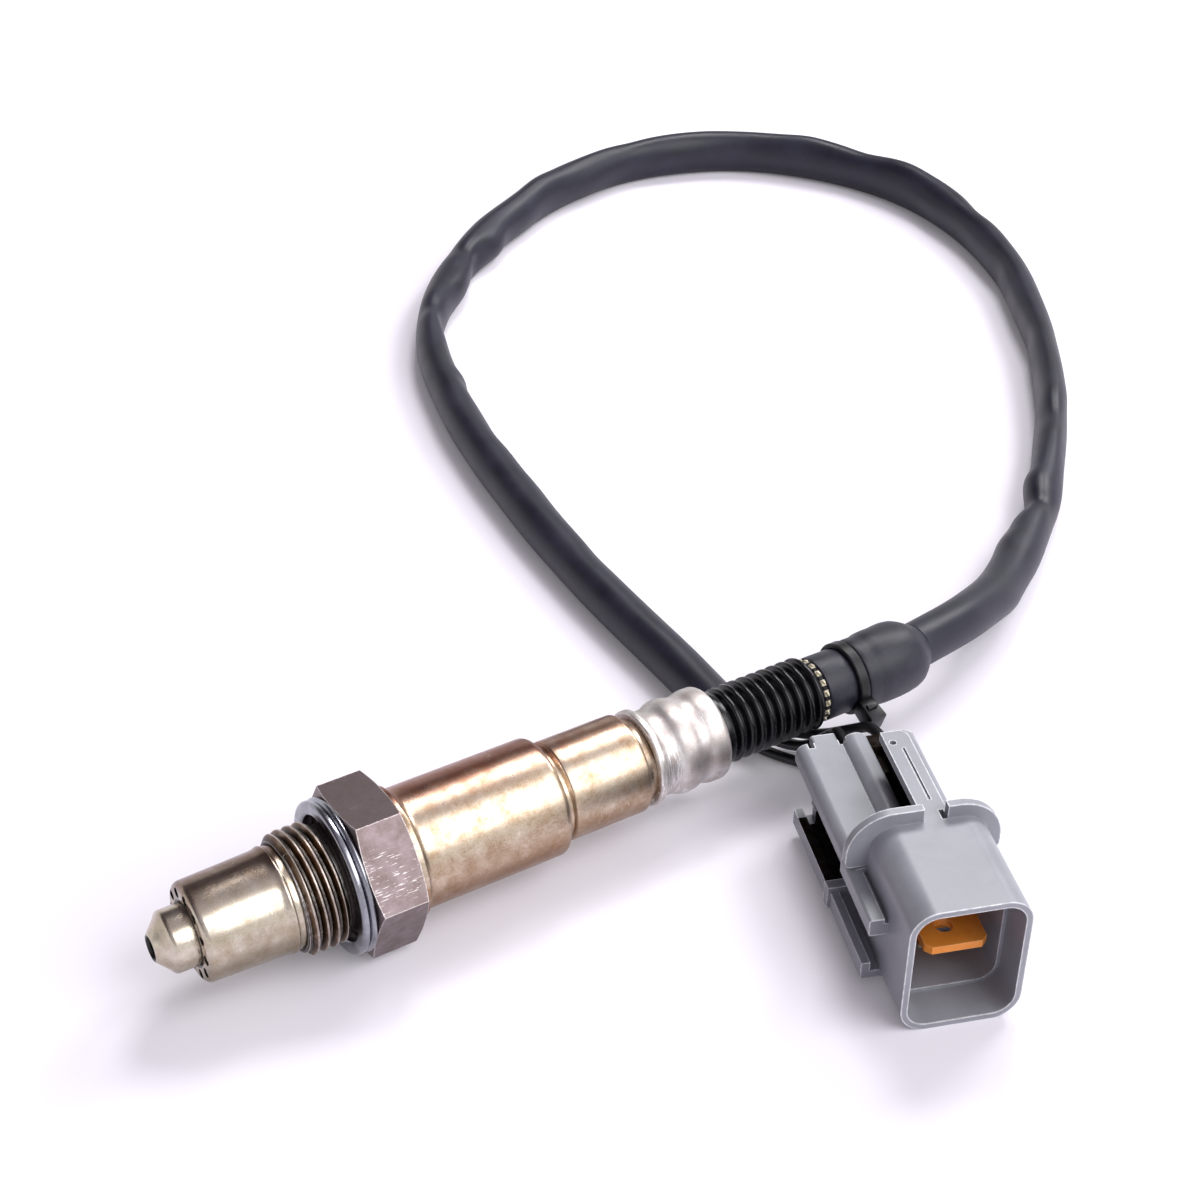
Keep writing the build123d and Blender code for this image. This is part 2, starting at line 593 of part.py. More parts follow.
def round_cable(name, route, diameter):
    """Tube of straight runs and tangent arcs along a route, with its length and bends printed."""
    radii = bend_radii(route)
    path = FilletPolyline(*route, radius=radii)
    section = Plane(origin=route[0], z_dir=route[1] - route[0]) * Circle(diameter / 2)
    cable = sweep(section, path=path)
    expected = pi * diameter ** 2 / 4 * path.length
    runs = [(b - a).length for a, b in zip(route, route[1:])]
    print(f"{name}: length {path.length:.1f}, volume ratio {cable.volume / expected:.4f}, "
          f"smallest bend {min(radii):.1f}, runs {min(runs):.1f} to {max(runs):.1f}")
    print("   radii", " ".join(f"{radius:.0f}" for radius in radii))
    return cable


def exit_plane():
    """Plane across the cable where it leaves the shrink boot."""
    side = Vector(0, 0, 1).cross(EXIT_DIRECTION).normalized()
    return Plane(origin=EXIT_POINT, x_dir=side, z_dir=EXIT_DIRECTION)


def sensor_lead(y, z):
    """One lead from its contact through the grommet and the boot to the harness sleeve."""
    end = exit_plane().from_local_coords(Vector(y, z, 0))
    knee = Vector(KNEE_X - y * tan(radians(EXIT_YAW / 2)) + z * tan(radians(EXIT_DROP / 2)), y, z)
    path = FilletPolyline(Vector(CONTACT_REAR, y, z), knee, end, radius=8)
    return sweep(Plane(origin=(CONTACT_REAR, y, z), z_dir=(1, 0, 0)) * Circle(LEAD_DIAMETER / 2), path=path)


# ---- connector ---------------------------------------------------------------------------------

def placed(piece):
    """A piece moved from the connector's own frame to where the connector lies."""
    return CONNECTOR_PLANE.location * piece


def pin_places():
    """The four (v, w) places of the terminals."""
    return [(PIN_MIDDLE_V + y * PIN_SPACING_V / 2, PIN_MIDDLE_W + z * PIN_SPACING_W / 2)
            for y, z in ((-1, -1), (1, -1), (-1, 1), (1, 1))]


def connector_shell():
    """Moulded shell: open shroud, collar flange, terminal housing, guide and the clip rails."""
    rear, deep = -HOUSING_LENGTH, -SHROUD_DEPTH
    wall, step = SHROUD_WALL, SHROUD_WALL + MOUTH_STEP
    shroud = rounded_bar(deep, 0, SHROUD_WIDTH, SHROUD_HEIGHT, SHROUD_ROUND)
    mouth = rounded_bar(-MOUTH_DEPTH, 1, SHROUD_WIDTH - 2 * wall, SHROUD_HEIGHT - 2 * wall,
                        SHROUD_ROUND - wall, w=wall)
    cavity = rounded_bar(-CAVITY_DEPTH, 1, SHROUD_WIDTH - 2 * step, SHROUD_HEIGHT - 2 * step,
                         SHROUD_ROUND - step, w=step)
    top = SHROUD_HEIGHT + FLANGE_RISE
    foot = top - FLANGE_HEIGHT
    flange = prism(deep - FLANGE_THICKNESS, deep, [
        (-FLANGE_LEFT, foot), (FLANGE_RIGHT, foot), (FLANGE_RIGHT, top), (-FLANGE_LEFT, top)],
        rounds=[(2, FLANGE_ROUND), (3, FLANGE_ROUND), (0, 0.8), (1, 0.8)])
    flange -= block(deep - FLANGE_THICKNESS - 1, deep + 1, FLANGE_GAP_LEFT, FLANGE_GAP_RIGHT,
                    SHROUD_HEIGHT, top + 1)
    slit = block(deep - FLANGE_THICKNESS - 0.6, deep, FLANGE_GAP_RIGHT - FLANGE_SLIT, FLANGE_GAP_RIGHT,
                 SHROUD_HEIGHT - 1.0, top + 1)
    backing = rounded_bar(deep - FLANGE_THICKNESS, deep, SHROUD_WIDTH, SHROUD_HEIGHT, SHROUD_ROUND)
    body = prism(rear, deep, [
        (-HOUSING_HALF_WIDTH, HOUSING_FLOOR), (HOUSING_HALF_WIDTH, HOUSING_FLOOR),
        (HOUSING_HALF_WIDTH, HOUSING_TOP), (-WING_HALF_WIDTH, HOUSING_TOP),
        (-WING_HALF_WIDTH, HOUSING_TOP - WING_THICKNESS),
        (-HOUSING_HALF_WIDTH, HOUSING_TOP - WING_THICKNESS)],
        rounds=[(0, HOUSING_ROUND), (1, HOUSING_ROUND), (2, HOUSING_ROUND), (3, HOUSING_ROUND), (4, 0.6)])
    spine = rod(rear + 0.4, deep, SPINE_RADIUS, SPINE_V, HOUSING_TOP - SPINE_RADIUS + SPINE_RISE)
    tab_left, tab_right = REAR_TAB_V - REAR_TAB_WIDTH / 2, REAR_TAB_V + REAR_TAB_WIDTH / 2
    tab = prism(rear - REAR_TAB_LENGTH, rear + 1, [
        (tab_left, HOUSING_TOP - 1.2), (tab_right, HOUSING_TOP - 1.2),
        (tab_right, HOUSING_TOP), (tab_left, HOUSING_TOP)], rounds=[(2, 0.4), (3, 0.4)])
    slot = block(-GUIDE_SLOT_REAR, deep - FLANGE_THICKNESS, GUIDE_WEB_LEFT - GUIDE_SLOT_WIDTH, GUIDE_WEB_LEFT,
                 HOUSING_TOP - GUIDE_SLOT_DEPTH, SHROUD_HEIGHT - GUIDE_PLATE - 0.1)
    shell = shroud + backing + flange + body + spine - slot + top_guide() + clip_rails()
    shell = shell - slit - mouth - cavity
    for v, w in pin_places():
        shell -= rod(rear - 1, rear + SEAL_LENGTH + 0.3, SEAL_RADIUS + SLIDE_FIT, v, w)
        shell -= rod(rear, -CAVITY_DEPTH + 1, PIN_BARREL_RADIUS + SLIDE_FIT, v, w)
    for side in (-1, 1):
        notch = REAR_TAB_V + side * (REAR_TAB_WIDTH + REAR_NOTCH) / 2
        shell -= block(rear - 1, rear + 1.1, notch - REAR_NOTCH / 2, notch + REAR_NOTCH / 2,
                       HOUSING_TOP - 1.2, HOUSING_TOP + 1)
    return placed(shell + tab)


def top_guide():
    """T-shaped guide along the top, flush with the shroud, with a pit and a groove."""
    rear, front = -GUIDE_END_U, -SHROUD_DEPTH - FLANGE_THICKNESS + 0.2
    top, under = SHROUD_HEIGHT, SHROUD_HEIGHT - GUIDE_PLATE
    plate = block(rear, front, GUIDE_LEFT, GUIDE_RIGHT, under, top)
    corners = plate.edges().filter_by(Axis.Z).group_by(Axis.X)[0].sort_by(Axis.Y)
    plate = fillet(corners[-1], GUIDE_CORNER)
    plate -= Pos(-GUIDE_PIT_U, GUIDE_PIT_V, top) * Cylinder(GUIDE_PIT_RADIUS, 1.2)
    plate -= block(-GUIDE_GROOVE_REAR, -GUIDE_GROOVE_FRONT, GUIDE_GROOVE_V - GUIDE_GROOVE_WIDTH / 2,
                   GUIDE_GROOVE_V + GUIDE_GROOVE_WIDTH / 2, top - 0.3, top + 1)
    web = block(rear + 0.6, front, GUIDE_WEB_LEFT, GUIDE_WEB_RIGHT, HOUSING_TOP - 1, under + 0.1)
    return plate + web


def clip_rails():
    """The two lipped rails on the side, which a mounting clip slides between."""
    outer, inner = -RAIL_OUTER, -HOUSING_HALF_WIDTH
    upper_top = HOUSING_TOP - 0.4
    upper = prism(-SHROUD_DEPTH - 3, -UPPER_RAIL_FRONT, [
        (outer, upper_top - UPPER_RAIL_HEIGHT), (-SHROUD_WIDTH / 2 + 0.3, upper_top - UPPER_RAIL_HEIGHT),
        (-SHROUD_WIDTH / 2 + 0.3, upper_top - 0.8), (-SHROUD_WIDTH / 2 - 0.6, upper_top - 0.8),
        (-SHROUD_WIDTH / 2 - 0.6, upper_top), (outer, upper_top)], rounds=[(5, 0.4), (0, 0.4)])
    low, floor = LOWER_RAIL_FLOOR, LOWER_RAIL_THICKNESS
    lip_top = low + LOWER_RAIL_LIP_HEIGHT
    lower = prism(-LOWER_RAIL_REAR, -LOWER_RAIL_FRONT, [
        (outer, low), (inner + 0.3, low), (inner + 0.3, low + floor), (outer + RAIL_LIP, low + floor),
        (outer + RAIL_LIP, lip_top), (outer, lip_top)], rounds=[(0, 0.4)])
    lower += block(-STOP_U - STOP_WIDTH, -STOP_U, outer - 0.4, inner + 0.3, low, lip_top + 0.8)
    lower += block(-CATCH_U, -CATCH_U + CATCH_WIDTH, inner - 1.0, inner + 0.3, low, CATCH_TOP)
    return upper + lower


def terminal_lock():
    """Front lock: a plate between the terminal rows with a pierced tongue towards the mouth."""
    middle = PIN_MIDDLE_V
    low, high = PIN_MIDDLE_W - TONGUE_THICKNESS / 2, PIN_MIDDLE_W + TONGUE_THICKNESS / 2
    back = -CAVITY_DEPTH
    plate = block(back, back + LOCK_PLATE_THICKNESS, middle - LOCK_PLATE_WIDTH / 2,
                  middle + LOCK_PLATE_WIDTH / 2, PIN_MIDDLE_W - LOCK_PLATE_HEIGHT / 2,
                  PIN_MIDDLE_W + LOCK_PLATE_HEIGHT / 2)
    half, root, tip = TONGUE_WIDTH / 2, TONGUE_ROOT_WIDTH / 2, -TONGUE_TIP_U
    outline = make_face(Polyline(
        (back + 0.5, TONGUE_V - root), (-TONGUE_ROOT_U - 0.7, TONGUE_V - root),
        (-TONGUE_ROOT_U, TONGUE_V - half), (tip - TONGUE_CORNER, TONGUE_V - half),
        (tip, TONGUE_V - half + TONGUE_CORNER), (tip, TONGUE_V + half - TONGUE_CORNER),
        (tip - TONGUE_CORNER, TONGUE_V + half), (back + 0.5, TONGUE_V + half), close=True))
    tongue = Pos(0, 0, low) * extrude(outline, high - low)
    tongue -= Pos(-TONGUE_HOLE_U, TONGUE_HOLE_V, low - 1) * extrude(
        Circle(TONGUE_HOLE_RADIUS), TONGUE_THICKNESS + 2)
    lock = plate + tongue
    for v, w in pin_places():
        lock -= rod(back - 1, back + LOCK_PLATE_THICKNESS + 1, PIN_BARREL_RADIUS + LOOSE_FIT, v, w)
    return placed(lock)


def pin_terminal(v, w):
    """Male terminal: barrel in the shell and a flat tab with a tapered tip."""
    barrel = rod(-PIN_REAR_U, -CAVITY_DEPTH + 0.4, PIN_BARREL_RADIUS, v, w)
    tab = block(-CAVITY_DEPTH - 1, -PIN_TIP_U, v - PIN_WIDTH / 2, v + PIN_WIDTH / 2,
                w - PIN_THICKNESS / 2, w + PIN_THICKNESS / 2)
    tip = tab.faces().sort_by(Axis.X)[-1].edges()
    return placed(barrel + chamfer(tip, 0.25))


def wire_seal(v, w):
    """Ribbed rubber plug that closes a terminal's cavity behind its wire."""
    rear, radius, rib = -HOUSING_LENGTH, SEAL_RADIUS, SEAL_RIB
    step = SEAL_LENGTH / 5
    outline = [(rear, 0), (rear, radius)]
    for turn in range(1, 5):
        outline.append((rear + step * turn, radius - rib * (turn % 2)))
    outline += [(rear + SEAL_LENGTH, radius), (rear + SEAL_LENGTH, 0)]
    return placed(Pos(0, v, w) * turned(outline))


def above_floor(x, y, height):
    """Point at that height above the floor."""
    return Vector(x, y, FLOOR_Z + height)


def tail_wire_routes():
    """Routes of the four wires from the cut end of the harness sleeve to the connector's seals."""
    end = HARNESS_ROUTE[-1]
    heading = (end - HARNESS_ROUTE[-2]).normalized()
    across = heading.cross(Vector(0, 0, 1))
    half = TAIL_WIRE_SPACING / 2
    under_sensor = [
        [above_floor(75.75, 1.1, 0.95), above_floor(80.15, -5.5, 1.15)],
        [above_floor(79.05, 1.4, 1.3), above_floor(84.55, -5.05, 1.8)],
        [above_floor(74.6, 3.05, 4.1), above_floor(78.4, -3.3, 3.8), above_floor(81.5, -6.6, 8.1)],
        [above_floor(77.5, 3.2, 3.8), above_floor(82.15, -1.95, 4.05), above_floor(85.2, -7.05, 7.7)],
    ]
    corners = ((1, -1), (-1, -1), (1, 1), (-1, 1))
    departures = (4.7, 4.4, 4.2, 4.2)
    approaches = (5.3, 5.5, 5.2, 5.5)
    routes = []
    for (side, level), departure, middle, approach, (v, w) in zip(
            corners, departures, under_sensor, approaches, pin_places()):
        start = end + across * side * half + Vector(0, 0, level * half)
        seal = CONNECTOR_PLANE.from_local_coords(Vector(-HOUSING_LENGTH, v, w))
        routes.append([start, start + heading * departure, *middle,
                       seal - CONNECTOR_DIRECTION * approach, seal])
    return routes


def all_pieces():
    """Every piece by name."""
    pieces = {
        "hex_housing": hex_housing(),
        "sealing_ring": sealing_ring(),
        "outer_protection_tube": outer_protection_tube(),
        "inner_protection_tube": inner_protection_tube(),
        "sensing_element": sensing_element(),
        "lower_ceramic_bush": packed_ring(BORE_START, PACKING_START, LOOSE_FIT),
        "powder_packing": packed_ring(PACKING_START, UPPER_BUSH_START, 0),
        "upper_ceramic_bush": packed_ring(UPPER_BUSH_START, UPPER_BUSH_END, LOOSE_FIT),
        "disc_spring": disc_spring(),
        "protective_sleeve": protective_sleeve(),
        "contact_holder": contact_holder(),
        "holder_clamp_ring": holder_clamp_ring(),
        "cable_grommet": cable_grommet(),
        "crimp_ferrule": crimp_ferrule(),
        "corrugated_boot": corrugated_boot(),
        "glass_braid_sleeve": glass_braid_sleeve(),
        "shrink_neck": shrink_neck(),
        "cable_tie": cable_tie(),
        "shrink_boot": shrink_boot(),
        "harness_sleeve": round_cable("harness_sleeve", HARNESS_ROUTE, HARNESS_DIAMETER),
        "connector_shell": connector_shell(),
        "terminal_lock": terminal_lock(),
    }
    for number, (side, level) in enumerate(((-1, 1), (1, 1), (-1, -1), (1, -1)), start=1):
        pieces[f"contact_spring_{number}"] = contact_spring(side, level)
    for number, (y, z) in enumerate(four_places(LEAD_SPACING), start=1):
        pieces[f"sensor_lead_{number}"] = sensor_lead(y, z)
    for number, route in enumerate(tail_wire_routes(), start=1):
        pieces[f"tail_wire_{number}"] = round_cable(f"tail_wire_{number}", route, TAIL_WIRE_DIAMETER)
    for number, (v, w) in enumerate(pin_places(), start=1):
        pieces[f"pin_terminal_{number}"] = pin_terminal(v, w)
        pieces[f"wire_seal_{number}"] = wire_seal(v, w)
    return pieces


os.makedirs("parts", exist_ok=True)
for node, solid in all_pieces().items():
    export_step(solid, f"parts/{node}.step")
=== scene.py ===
"""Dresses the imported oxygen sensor: finishes, thread, crimps, corrugations, harness and connector."""
import logging
import math
from contextlib import contextmanager
from dataclasses import dataclass, field
from enum import Enum
from functools import cached_property
from typing import Any, Callable, Iterator, Sequence

import bpy
from mathutils import Matrix, Vector, noise


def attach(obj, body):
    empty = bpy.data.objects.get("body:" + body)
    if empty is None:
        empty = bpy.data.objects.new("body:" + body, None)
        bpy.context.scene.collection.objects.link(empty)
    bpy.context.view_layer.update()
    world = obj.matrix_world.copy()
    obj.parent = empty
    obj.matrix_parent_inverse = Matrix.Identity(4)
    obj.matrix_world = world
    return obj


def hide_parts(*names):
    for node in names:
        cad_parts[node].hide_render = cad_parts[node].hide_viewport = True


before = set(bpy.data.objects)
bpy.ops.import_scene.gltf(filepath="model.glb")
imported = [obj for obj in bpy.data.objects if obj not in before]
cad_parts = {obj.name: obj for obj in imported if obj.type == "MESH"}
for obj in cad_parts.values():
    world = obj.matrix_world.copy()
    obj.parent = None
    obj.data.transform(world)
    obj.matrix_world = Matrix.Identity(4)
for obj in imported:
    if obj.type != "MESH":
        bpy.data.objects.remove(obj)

LOG = logging.getLogger("oxygen_sensor")
MM = 0.001
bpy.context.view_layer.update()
FLOOR = -11.72
TURN = 2 * math.pi
Point = tuple[float, float, float]
Outline = list[tuple[float, float]]
Piece = bpy.types.Object
Socket = bpy.types.NodeSocket


def linear(code: str) -> tuple[float, float, float, float]:
    """Turn an sRGB hex value to linear colour.

    Args:
        code: Six hex digits after a hash.

    Returns:
        Red, green, blue and an alpha of one.
    """
    parts = [int(code[i:i + 2], 16) / 255 for i in (1, 3, 5)]
    low = [p / 12.92 if p <= 0.04045 else ((p + 0.055) / 1.055) ** 2.4 for p in parts]
    return low[0], low[1], low[2], 1.0


@dataclass
class Nodes:
    """A node tree that is being filled."""

    tree: bpy.types.NodeTree

    def put(self, name: str, values: dict[Any, Any]) -> bpy.types.Node:
        """Set and link what a node takes.

        Args:
            name: The node's name in the tree.
            values: Attributes by name, and values or sockets by the input's name or number.

        Returns:
            The node.
        """
        node = self.tree.nodes[name]
        for key, value in values.items():
            if isinstance(key, str) and hasattr(node, key):
                setattr(node, key, value)
            elif isinstance(value, Socket):
                self.tree.links.new(value, node.inputs[key])
            else:
                node.inputs[key].default_value = value
        return node

    def add(self, kind: str, values: dict[Any, Any], out: int | str = 0,
            stops: Sequence[tuple[float, str]] = ()) -> Socket:
        """Add a node with what it takes and, on a colour ramp, its stops.

        Args:
            kind: The node's type name after "ShaderNode".
            values: Attributes by name, and values or sockets by the input's name or number.
            out: Name or number of the wanted output.
            stops: Places and sRGB hex colours in rising order.

        Returns:
            The wanted output.
        """
        node = self.put(self.tree.nodes.new("ShaderNode" + kind).name, values)
        for index, (place, code) in enumerate(stops):
            elements = node.color_ramp.elements
            element = elements[index] if index < len(elements) else elements.new(place)
            element.position = place
            element.color = linear(code)
        return node.outputs[out]

    @cached_property
    def place(self) -> Socket:
        """Object coordinates in millimetres."""
        coords = self.add("TexCoord", {}, "Object")
        return self.add("Mapping", {"Vector": coords, "Scale": (1 / MM, 1 / MM, 1 / MM)})


# ---- finishes ----------------------------------------------------------------------------------


@dataclass(frozen=True)
class Finish:
    """A surface finish of two colours, with paler edges, partly rubbing and partly painted highlight, and
    painted shade in marked recesses, that builds its material once.
    """

    name: str
    base: str
    second: str
    # edge is laid along outer edges: on bare metal partly rubbing and partly painted highlight, on plastic a
    # painted highlight.
    edge: str = "#E4E1DF"
    edge_share: float = 0.0
    edge_mm: float = 0.3
    # The colour of the painted shade in recesses that the mesh marks.
    painted_shade: str = "#1C1512"

    def material(self) -> bpy.types.Material:
        """Give the material, built at its first use."""
        return bpy.data.materials.get(self.name) or self.build()

    def build(self) -> bpy.types.Material:
        """Build the material."""
        material = bpy.data.materials.new(self.name)
        material.use_nodes = True
        nodes = Nodes(material.node_tree)
        nodes.put("Principled BSDF", self.surface(nodes))
        return material

    def surface(self, nodes: Nodes) -> dict[str, Any]:
        """Make what the shader takes, by the names of its inputs."""
        raise NotImplementedError

    def paint_edges_and_shade(self, nodes: Nodes, colour: Socket) -> tuple[Socket, Socket]:
        """Make a colour's outer edges paler, partly as rubbing and partly as painted highlight, and paint
        shade on the faces that the mesh's attribute marks.

        Args:
            nodes: The material's nodes.
            colour: The clean colour.

        Returns:
            The colour, and how free the surface is of painted shade.
        """
        # Outer edges made paler: on metal partly rubbing and partly painted highlight, on plastic a painted
        # highlight.
        if self.edge_share > 0:
            colour = nodes.add("Mix", {"data_type": "RGBA", 0: self.edge_wear_and_highlight(nodes), 6: colour,
                                       7: linear(self.edge)}, 2)
        # Shade painted on the faces that the mesh marks, patchy by a noise; it also dulls their gloss and
        # metal.
        mark = nodes.add("Attribute", {"attribute_name": "painted_shade"}, "Fac")
        cloud = nodes.add("TexNoise", {"Vector": nodes.place, "Scale": 0.7, "Detail": 5.0})
        cover = nodes.add("MapRange", {"Value": cloud, "From Min": 0.3, "From Max": 0.6, "To Min": 0.95})
        shade_share = nodes.add("Math", {"operation": "MULTIPLY", 0: mark, 1: cover})
        colour = nodes.add("Mix", {"data_type": "RGBA", 0: shade_share, 6: colour, 7: linear(self.painted_shade)}, 2)
        return colour, nodes.add("Math", {"operation": "SUBTRACT", 0: 1.0, 1: shade_share})

    def edge_wear_and_highlight(self, nodes: Nodes) -> Socket:
        """Find the outer edges, where a rounded normal leaves the true one, broken up by a noise.

        Args:
            nodes: The material's nodes.

        Returns:
            How far the edge is made paler, partly as rubbing and partly as painted highlight.
        """
        reach = self.edge_mm * MM
        rounded = nodes.add("Bevel", {"samples": 6, "Radius": reach})
        true = nodes.add("NewGeometry", {}, "Normal")
        lean = nodes.add("VectorMath", {"operation": "DOT_PRODUCT", 0: rounded, 1: true}, "Value")
        edge = nodes.add("MapRange", {"Value": lean, "From Min": 0.985, "From Max": 0.9})
        open_to = nodes.add("AmbientOcclusion", {"samples": 6, "Distance": 2 * reach}, "AO")
        outer = nodes.add("MapRange", {"Value": open_to, "From Min": 0.62, "From Max": 0.85})
        chips = nodes.add("TexNoise", {"Vector": nodes.place, "Scale": 1.4, "Detail": 3.0})
        chipped = nodes.add("MapRange", {"Value": chips, "From Min": 0.25, "From Max": 0.6, "To Min": 0.3,
                                         "To Max": self.edge_share})
        outer_edge = nodes.add("Math", {"operation": "MULTIPLY", 0: edge, 1: outer})
        return nodes.add("Math", {"operation": "MULTIPLY", 0: outer_edge, 1: chipped})


@dataclass(frozen=True)
class Moulded(Finish):
    """Moulded plastic, rubber or ceramic: an even colour with faint mottling, and a fine skin."""

    roughness: float = 0.45
    spread: float = 0.08
    ior: float = 1.5
    mottle_mm: float = 6.0
    grain_mm: float = 0.25
    bump: float = 0.15

    def surface(self, nodes: Nodes) -> dict[str, Any]:
        """Make what the shader takes, by the names of its inputs.

        Args:
            nodes: The material's nodes.

        Returns:
            Values and sockets.
        """
        mottle = nodes.add("TexNoise", {"Vector": nodes.place, "Scale": 1 / self.mottle_mm, "Detail": 4.0,
                                        "Roughness": 0.6})
        colour = nodes.add("ValToRGB", {"Fac": mottle}, stops=[(0.35, self.second), (0.65, self.base)])
        colour, unshaded = self.paint_edges_and_shade(nodes, colour)
        shine = nodes.add("Math", {"operation": "MULTIPLY", 0: unshaded, 1: 0.5})
        polish = nodes.add("MapRange", {"Value": mottle, "To Min": self.roughness - self.spread,
                                        "To Max": self.roughness + self.spread})
        grain = nodes.add("TexNoise", {"Vector": nodes.place, "Scale": 1 / self.grain_mm, "Detail": 2.0})
        relief = nodes.add("Bump", {"Height": grain, "Strength": self.bump, "Distance": 0.05 * MM})
        return {"Base Color": colour, "Specular IOR Level": shine, "Roughness": polish, "Normal": relief,
                "IOR": self.ior}


@dataclass(frozen=True)
class Metal(Finish):
    """Bare metal: a film of a second colour in patches, gathered scratches and uneven polish."""

    # Near-black painted shade for marked recesses in metal.
    painted_shade: str = "#0B0908"
    scratch: str = "#E6E2DE"
    scratch_mm: Point = (0.12, 2.2, 2.2)
    scratch_share: float = 0.66
    patch_mm: float = 3.0
    smooth: float = 0.25
    rough: float = 0.45
    bump: float = 0.1

    def film(self, nodes: Nodes, colour: Socket) -> Socket:
        """Lay what heat or use has left over the bare colour; plain metal has nothing."""
        return colour

    def surface(self, nodes: Nodes) -> dict[str, Any]:
        """Make what the shader takes, by the names of its inputs.

        Args:
            nodes: The material's nodes.

        Returns:
            Values and sockets.
        """
        patches = nodes.add("TexNoise", {"Vector": nodes.place, "Scale": 1 / self.patch_mm, "Detail": 8.0,
                                         "Roughness": 0.6})
        specks = nodes.add("TexNoise", {"Vector": nodes.place, "Scale": 3.5, "Detail": 3.0, "Roughness": 0.8})
        uneven = nodes.add("Mix", {"data_type": "FLOAT", 0: 0.35, 2: patches, 3: specks})
        colour = nodes.add("ValToRGB", {"Fac": uneven}, stops=[(0.36, self.second), (0.64, self.base)])
        stretched = nodes.add("Mapping", {"Vector": nodes.place,
                                          "Scale": [1 / part for part in self.scratch_mm]})
        streak = nodes.add("TexNoise", {"Vector": stretched, "Scale": 1.0, "Detail": 3.0, "Roughness": 0.7})
        cut = nodes.add("MapRange", {"Value": streak, "From Min": self.scratch_share,
                                     "From Max": self.scratch_share + 0.06, "To Max": 0.8})
        scuffs = nodes.add("TexNoise", {"Vector": nodes.place, "Scale": 0.13, "Detail": 1.0})
        gather = nodes.add("MapRange", {"Value": scuffs, "From Min": 0.49, "From Max": 0.6, "To Min": 0.08})
        share = nodes.add("Math", {"operation": "MULTIPLY", 0: cut, 1: gather})
        scratched = nodes.add("Mix", {"data_type": "RGBA", 0: share, 6: self.film(nodes, colour),
                                      7: linear(self.scratch)}, 2)
        colour, unshaded = self.paint_edges_and_shade(nodes, scratched)
        polish = nodes.add("MapRange", {"Value": uneven, "From Min": 0.3, "From Max": 0.7,
                                        "To Min": self.rough, "To Max": self.smooth})
        relief = nodes.add("Bump", {"Height": streak, "Strength": self.bump, "Distance": 0.04 * MM})
        return {"Base Color": colour, "Metallic": unshaded, "Roughness": polish, "Normal": relief}


@dataclass(frozen=True)
class TintedMetal(Metal):
    """Metal with two ragged-bordered tints, each partly heat tint and partly painted reflection: a dark one
    along its upper back and one underneath.
    """

    top_tint_and_reflection: str = "#6E4636"
    low_tint_and_reflection: str = "#8E8068"
    # Direction of the upper back, where the top colour paints a dark reflection over the heat tint; the low
    # colour takes the opposite side.
    tint_side: Point = (0.0, 0.62, 0.78)
    tint_mm: float = 8.0
    ragged_mm: float = 3.2

    def film(self, nodes: Nodes, colour: Socket) -> Socket:
        """Lay the two tints, partly heat tint and partly painted reflection, over the bare colour.

        Args:
            nodes: The material's nodes.
            colour: The colour so far.

        Returns:
            The tinted colour.
        """
        height = nodes.add("VectorMath", {"operation": "DOT_PRODUCT", 0: nodes.place, 1: self.tint_side},
                           "Value")
        ragged = nodes.add("TexNoise", {"Vector": nodes.place, "Scale": 0.22, "Detail": 7.0, "Roughness": 0.7})
        wander = nodes.add("MapRange", {"Value": ragged, "To Min": -self.ragged_mm, "To Max": self.ragged_mm})
        level = nodes.add("Math", {"operation": "ADD", 0: height, 1: wander})
        for code, low, high in ((self.top_tint_and_reflection, 0.45, 1.0), (self.low_tint_and_reflection, -0.35, -1.0)):
            reach = nodes.add("MapRange", {"Value": level, "From Min": low * self.tint_mm,
                                           "From Max": high * self.tint_mm, "To Max": 0.85})
            colour = nodes.add("Mix", {"data_type": "RGBA", 0: reach, 6: colour, 7: linear(code)}, 2)
        return colour


@dataclass(frozen=True)
class ThreadedMetal(Metal):
    """Metal with a thread at its front, its roots painted dark as shade and its crests paler, partly rubbing
    and partly painted highlight.
    """

    # root is painted shade; crest is paler, partly rubbing and partly painted highlight.
    root: str = "#30241A"
    flank: str = "#6B5644"
    crest: str = "#A39A9C"
    root_radius: float = 8.1
    crest_radius: float = 9.0

    def film(self, nodes: Nodes, colour: Socket) -> Socket:
        """Colour the thread by its depth: painted shade in the roots and paler crests, partly rubbing and
        partly painted highlight.

        Args:
            nodes: The material's nodes.
            colour: The colour so far.

        Returns:
            The colour with the thread's own where it is threaded.
        """
        across = nodes.add("VectorMath", {"operation": "MULTIPLY", 0: nodes.place, 1: (0.0, 1.0, 1.0)})
        radius = nodes.add("VectorMath", {"operation": "LENGTH", 0: across}, "Value")
        rubbed = nodes.add("TexNoise", {"Vector": nodes.place, "Scale": 0.45, "Detail": 3.0})
        wander = nodes.add("MapRange", {"Value": rubbed, "From Min": 0.3, "From Max": 0.7, "To Min": -0.3,
                                        "To Max": 0.25})
        level = nodes.add("Math", {"operation": "ADD", 0: radius, 1: wander})
        depth = nodes.add("MapRange", {"Value": level, "From Min": self.root_radius,
                                       "From Max": self.crest_radius})
        depth_shading = nodes.add("ValToRGB", {"Fac": depth},
                         stops=[(0.15, self.root), (0.6, self.flank), (0.97, self.crest)])
        along = nodes.add("SeparateXYZ", {"Vector": nodes.place}, "X")
        front = nodes.add("MapRange", {"Value": along, "From Min": 0.1, "From Max": -0.1})
        return nodes.add("Mix", {"data_type": "RGBA", 0: front, 6: colour, 7: depth_shading}, 2)


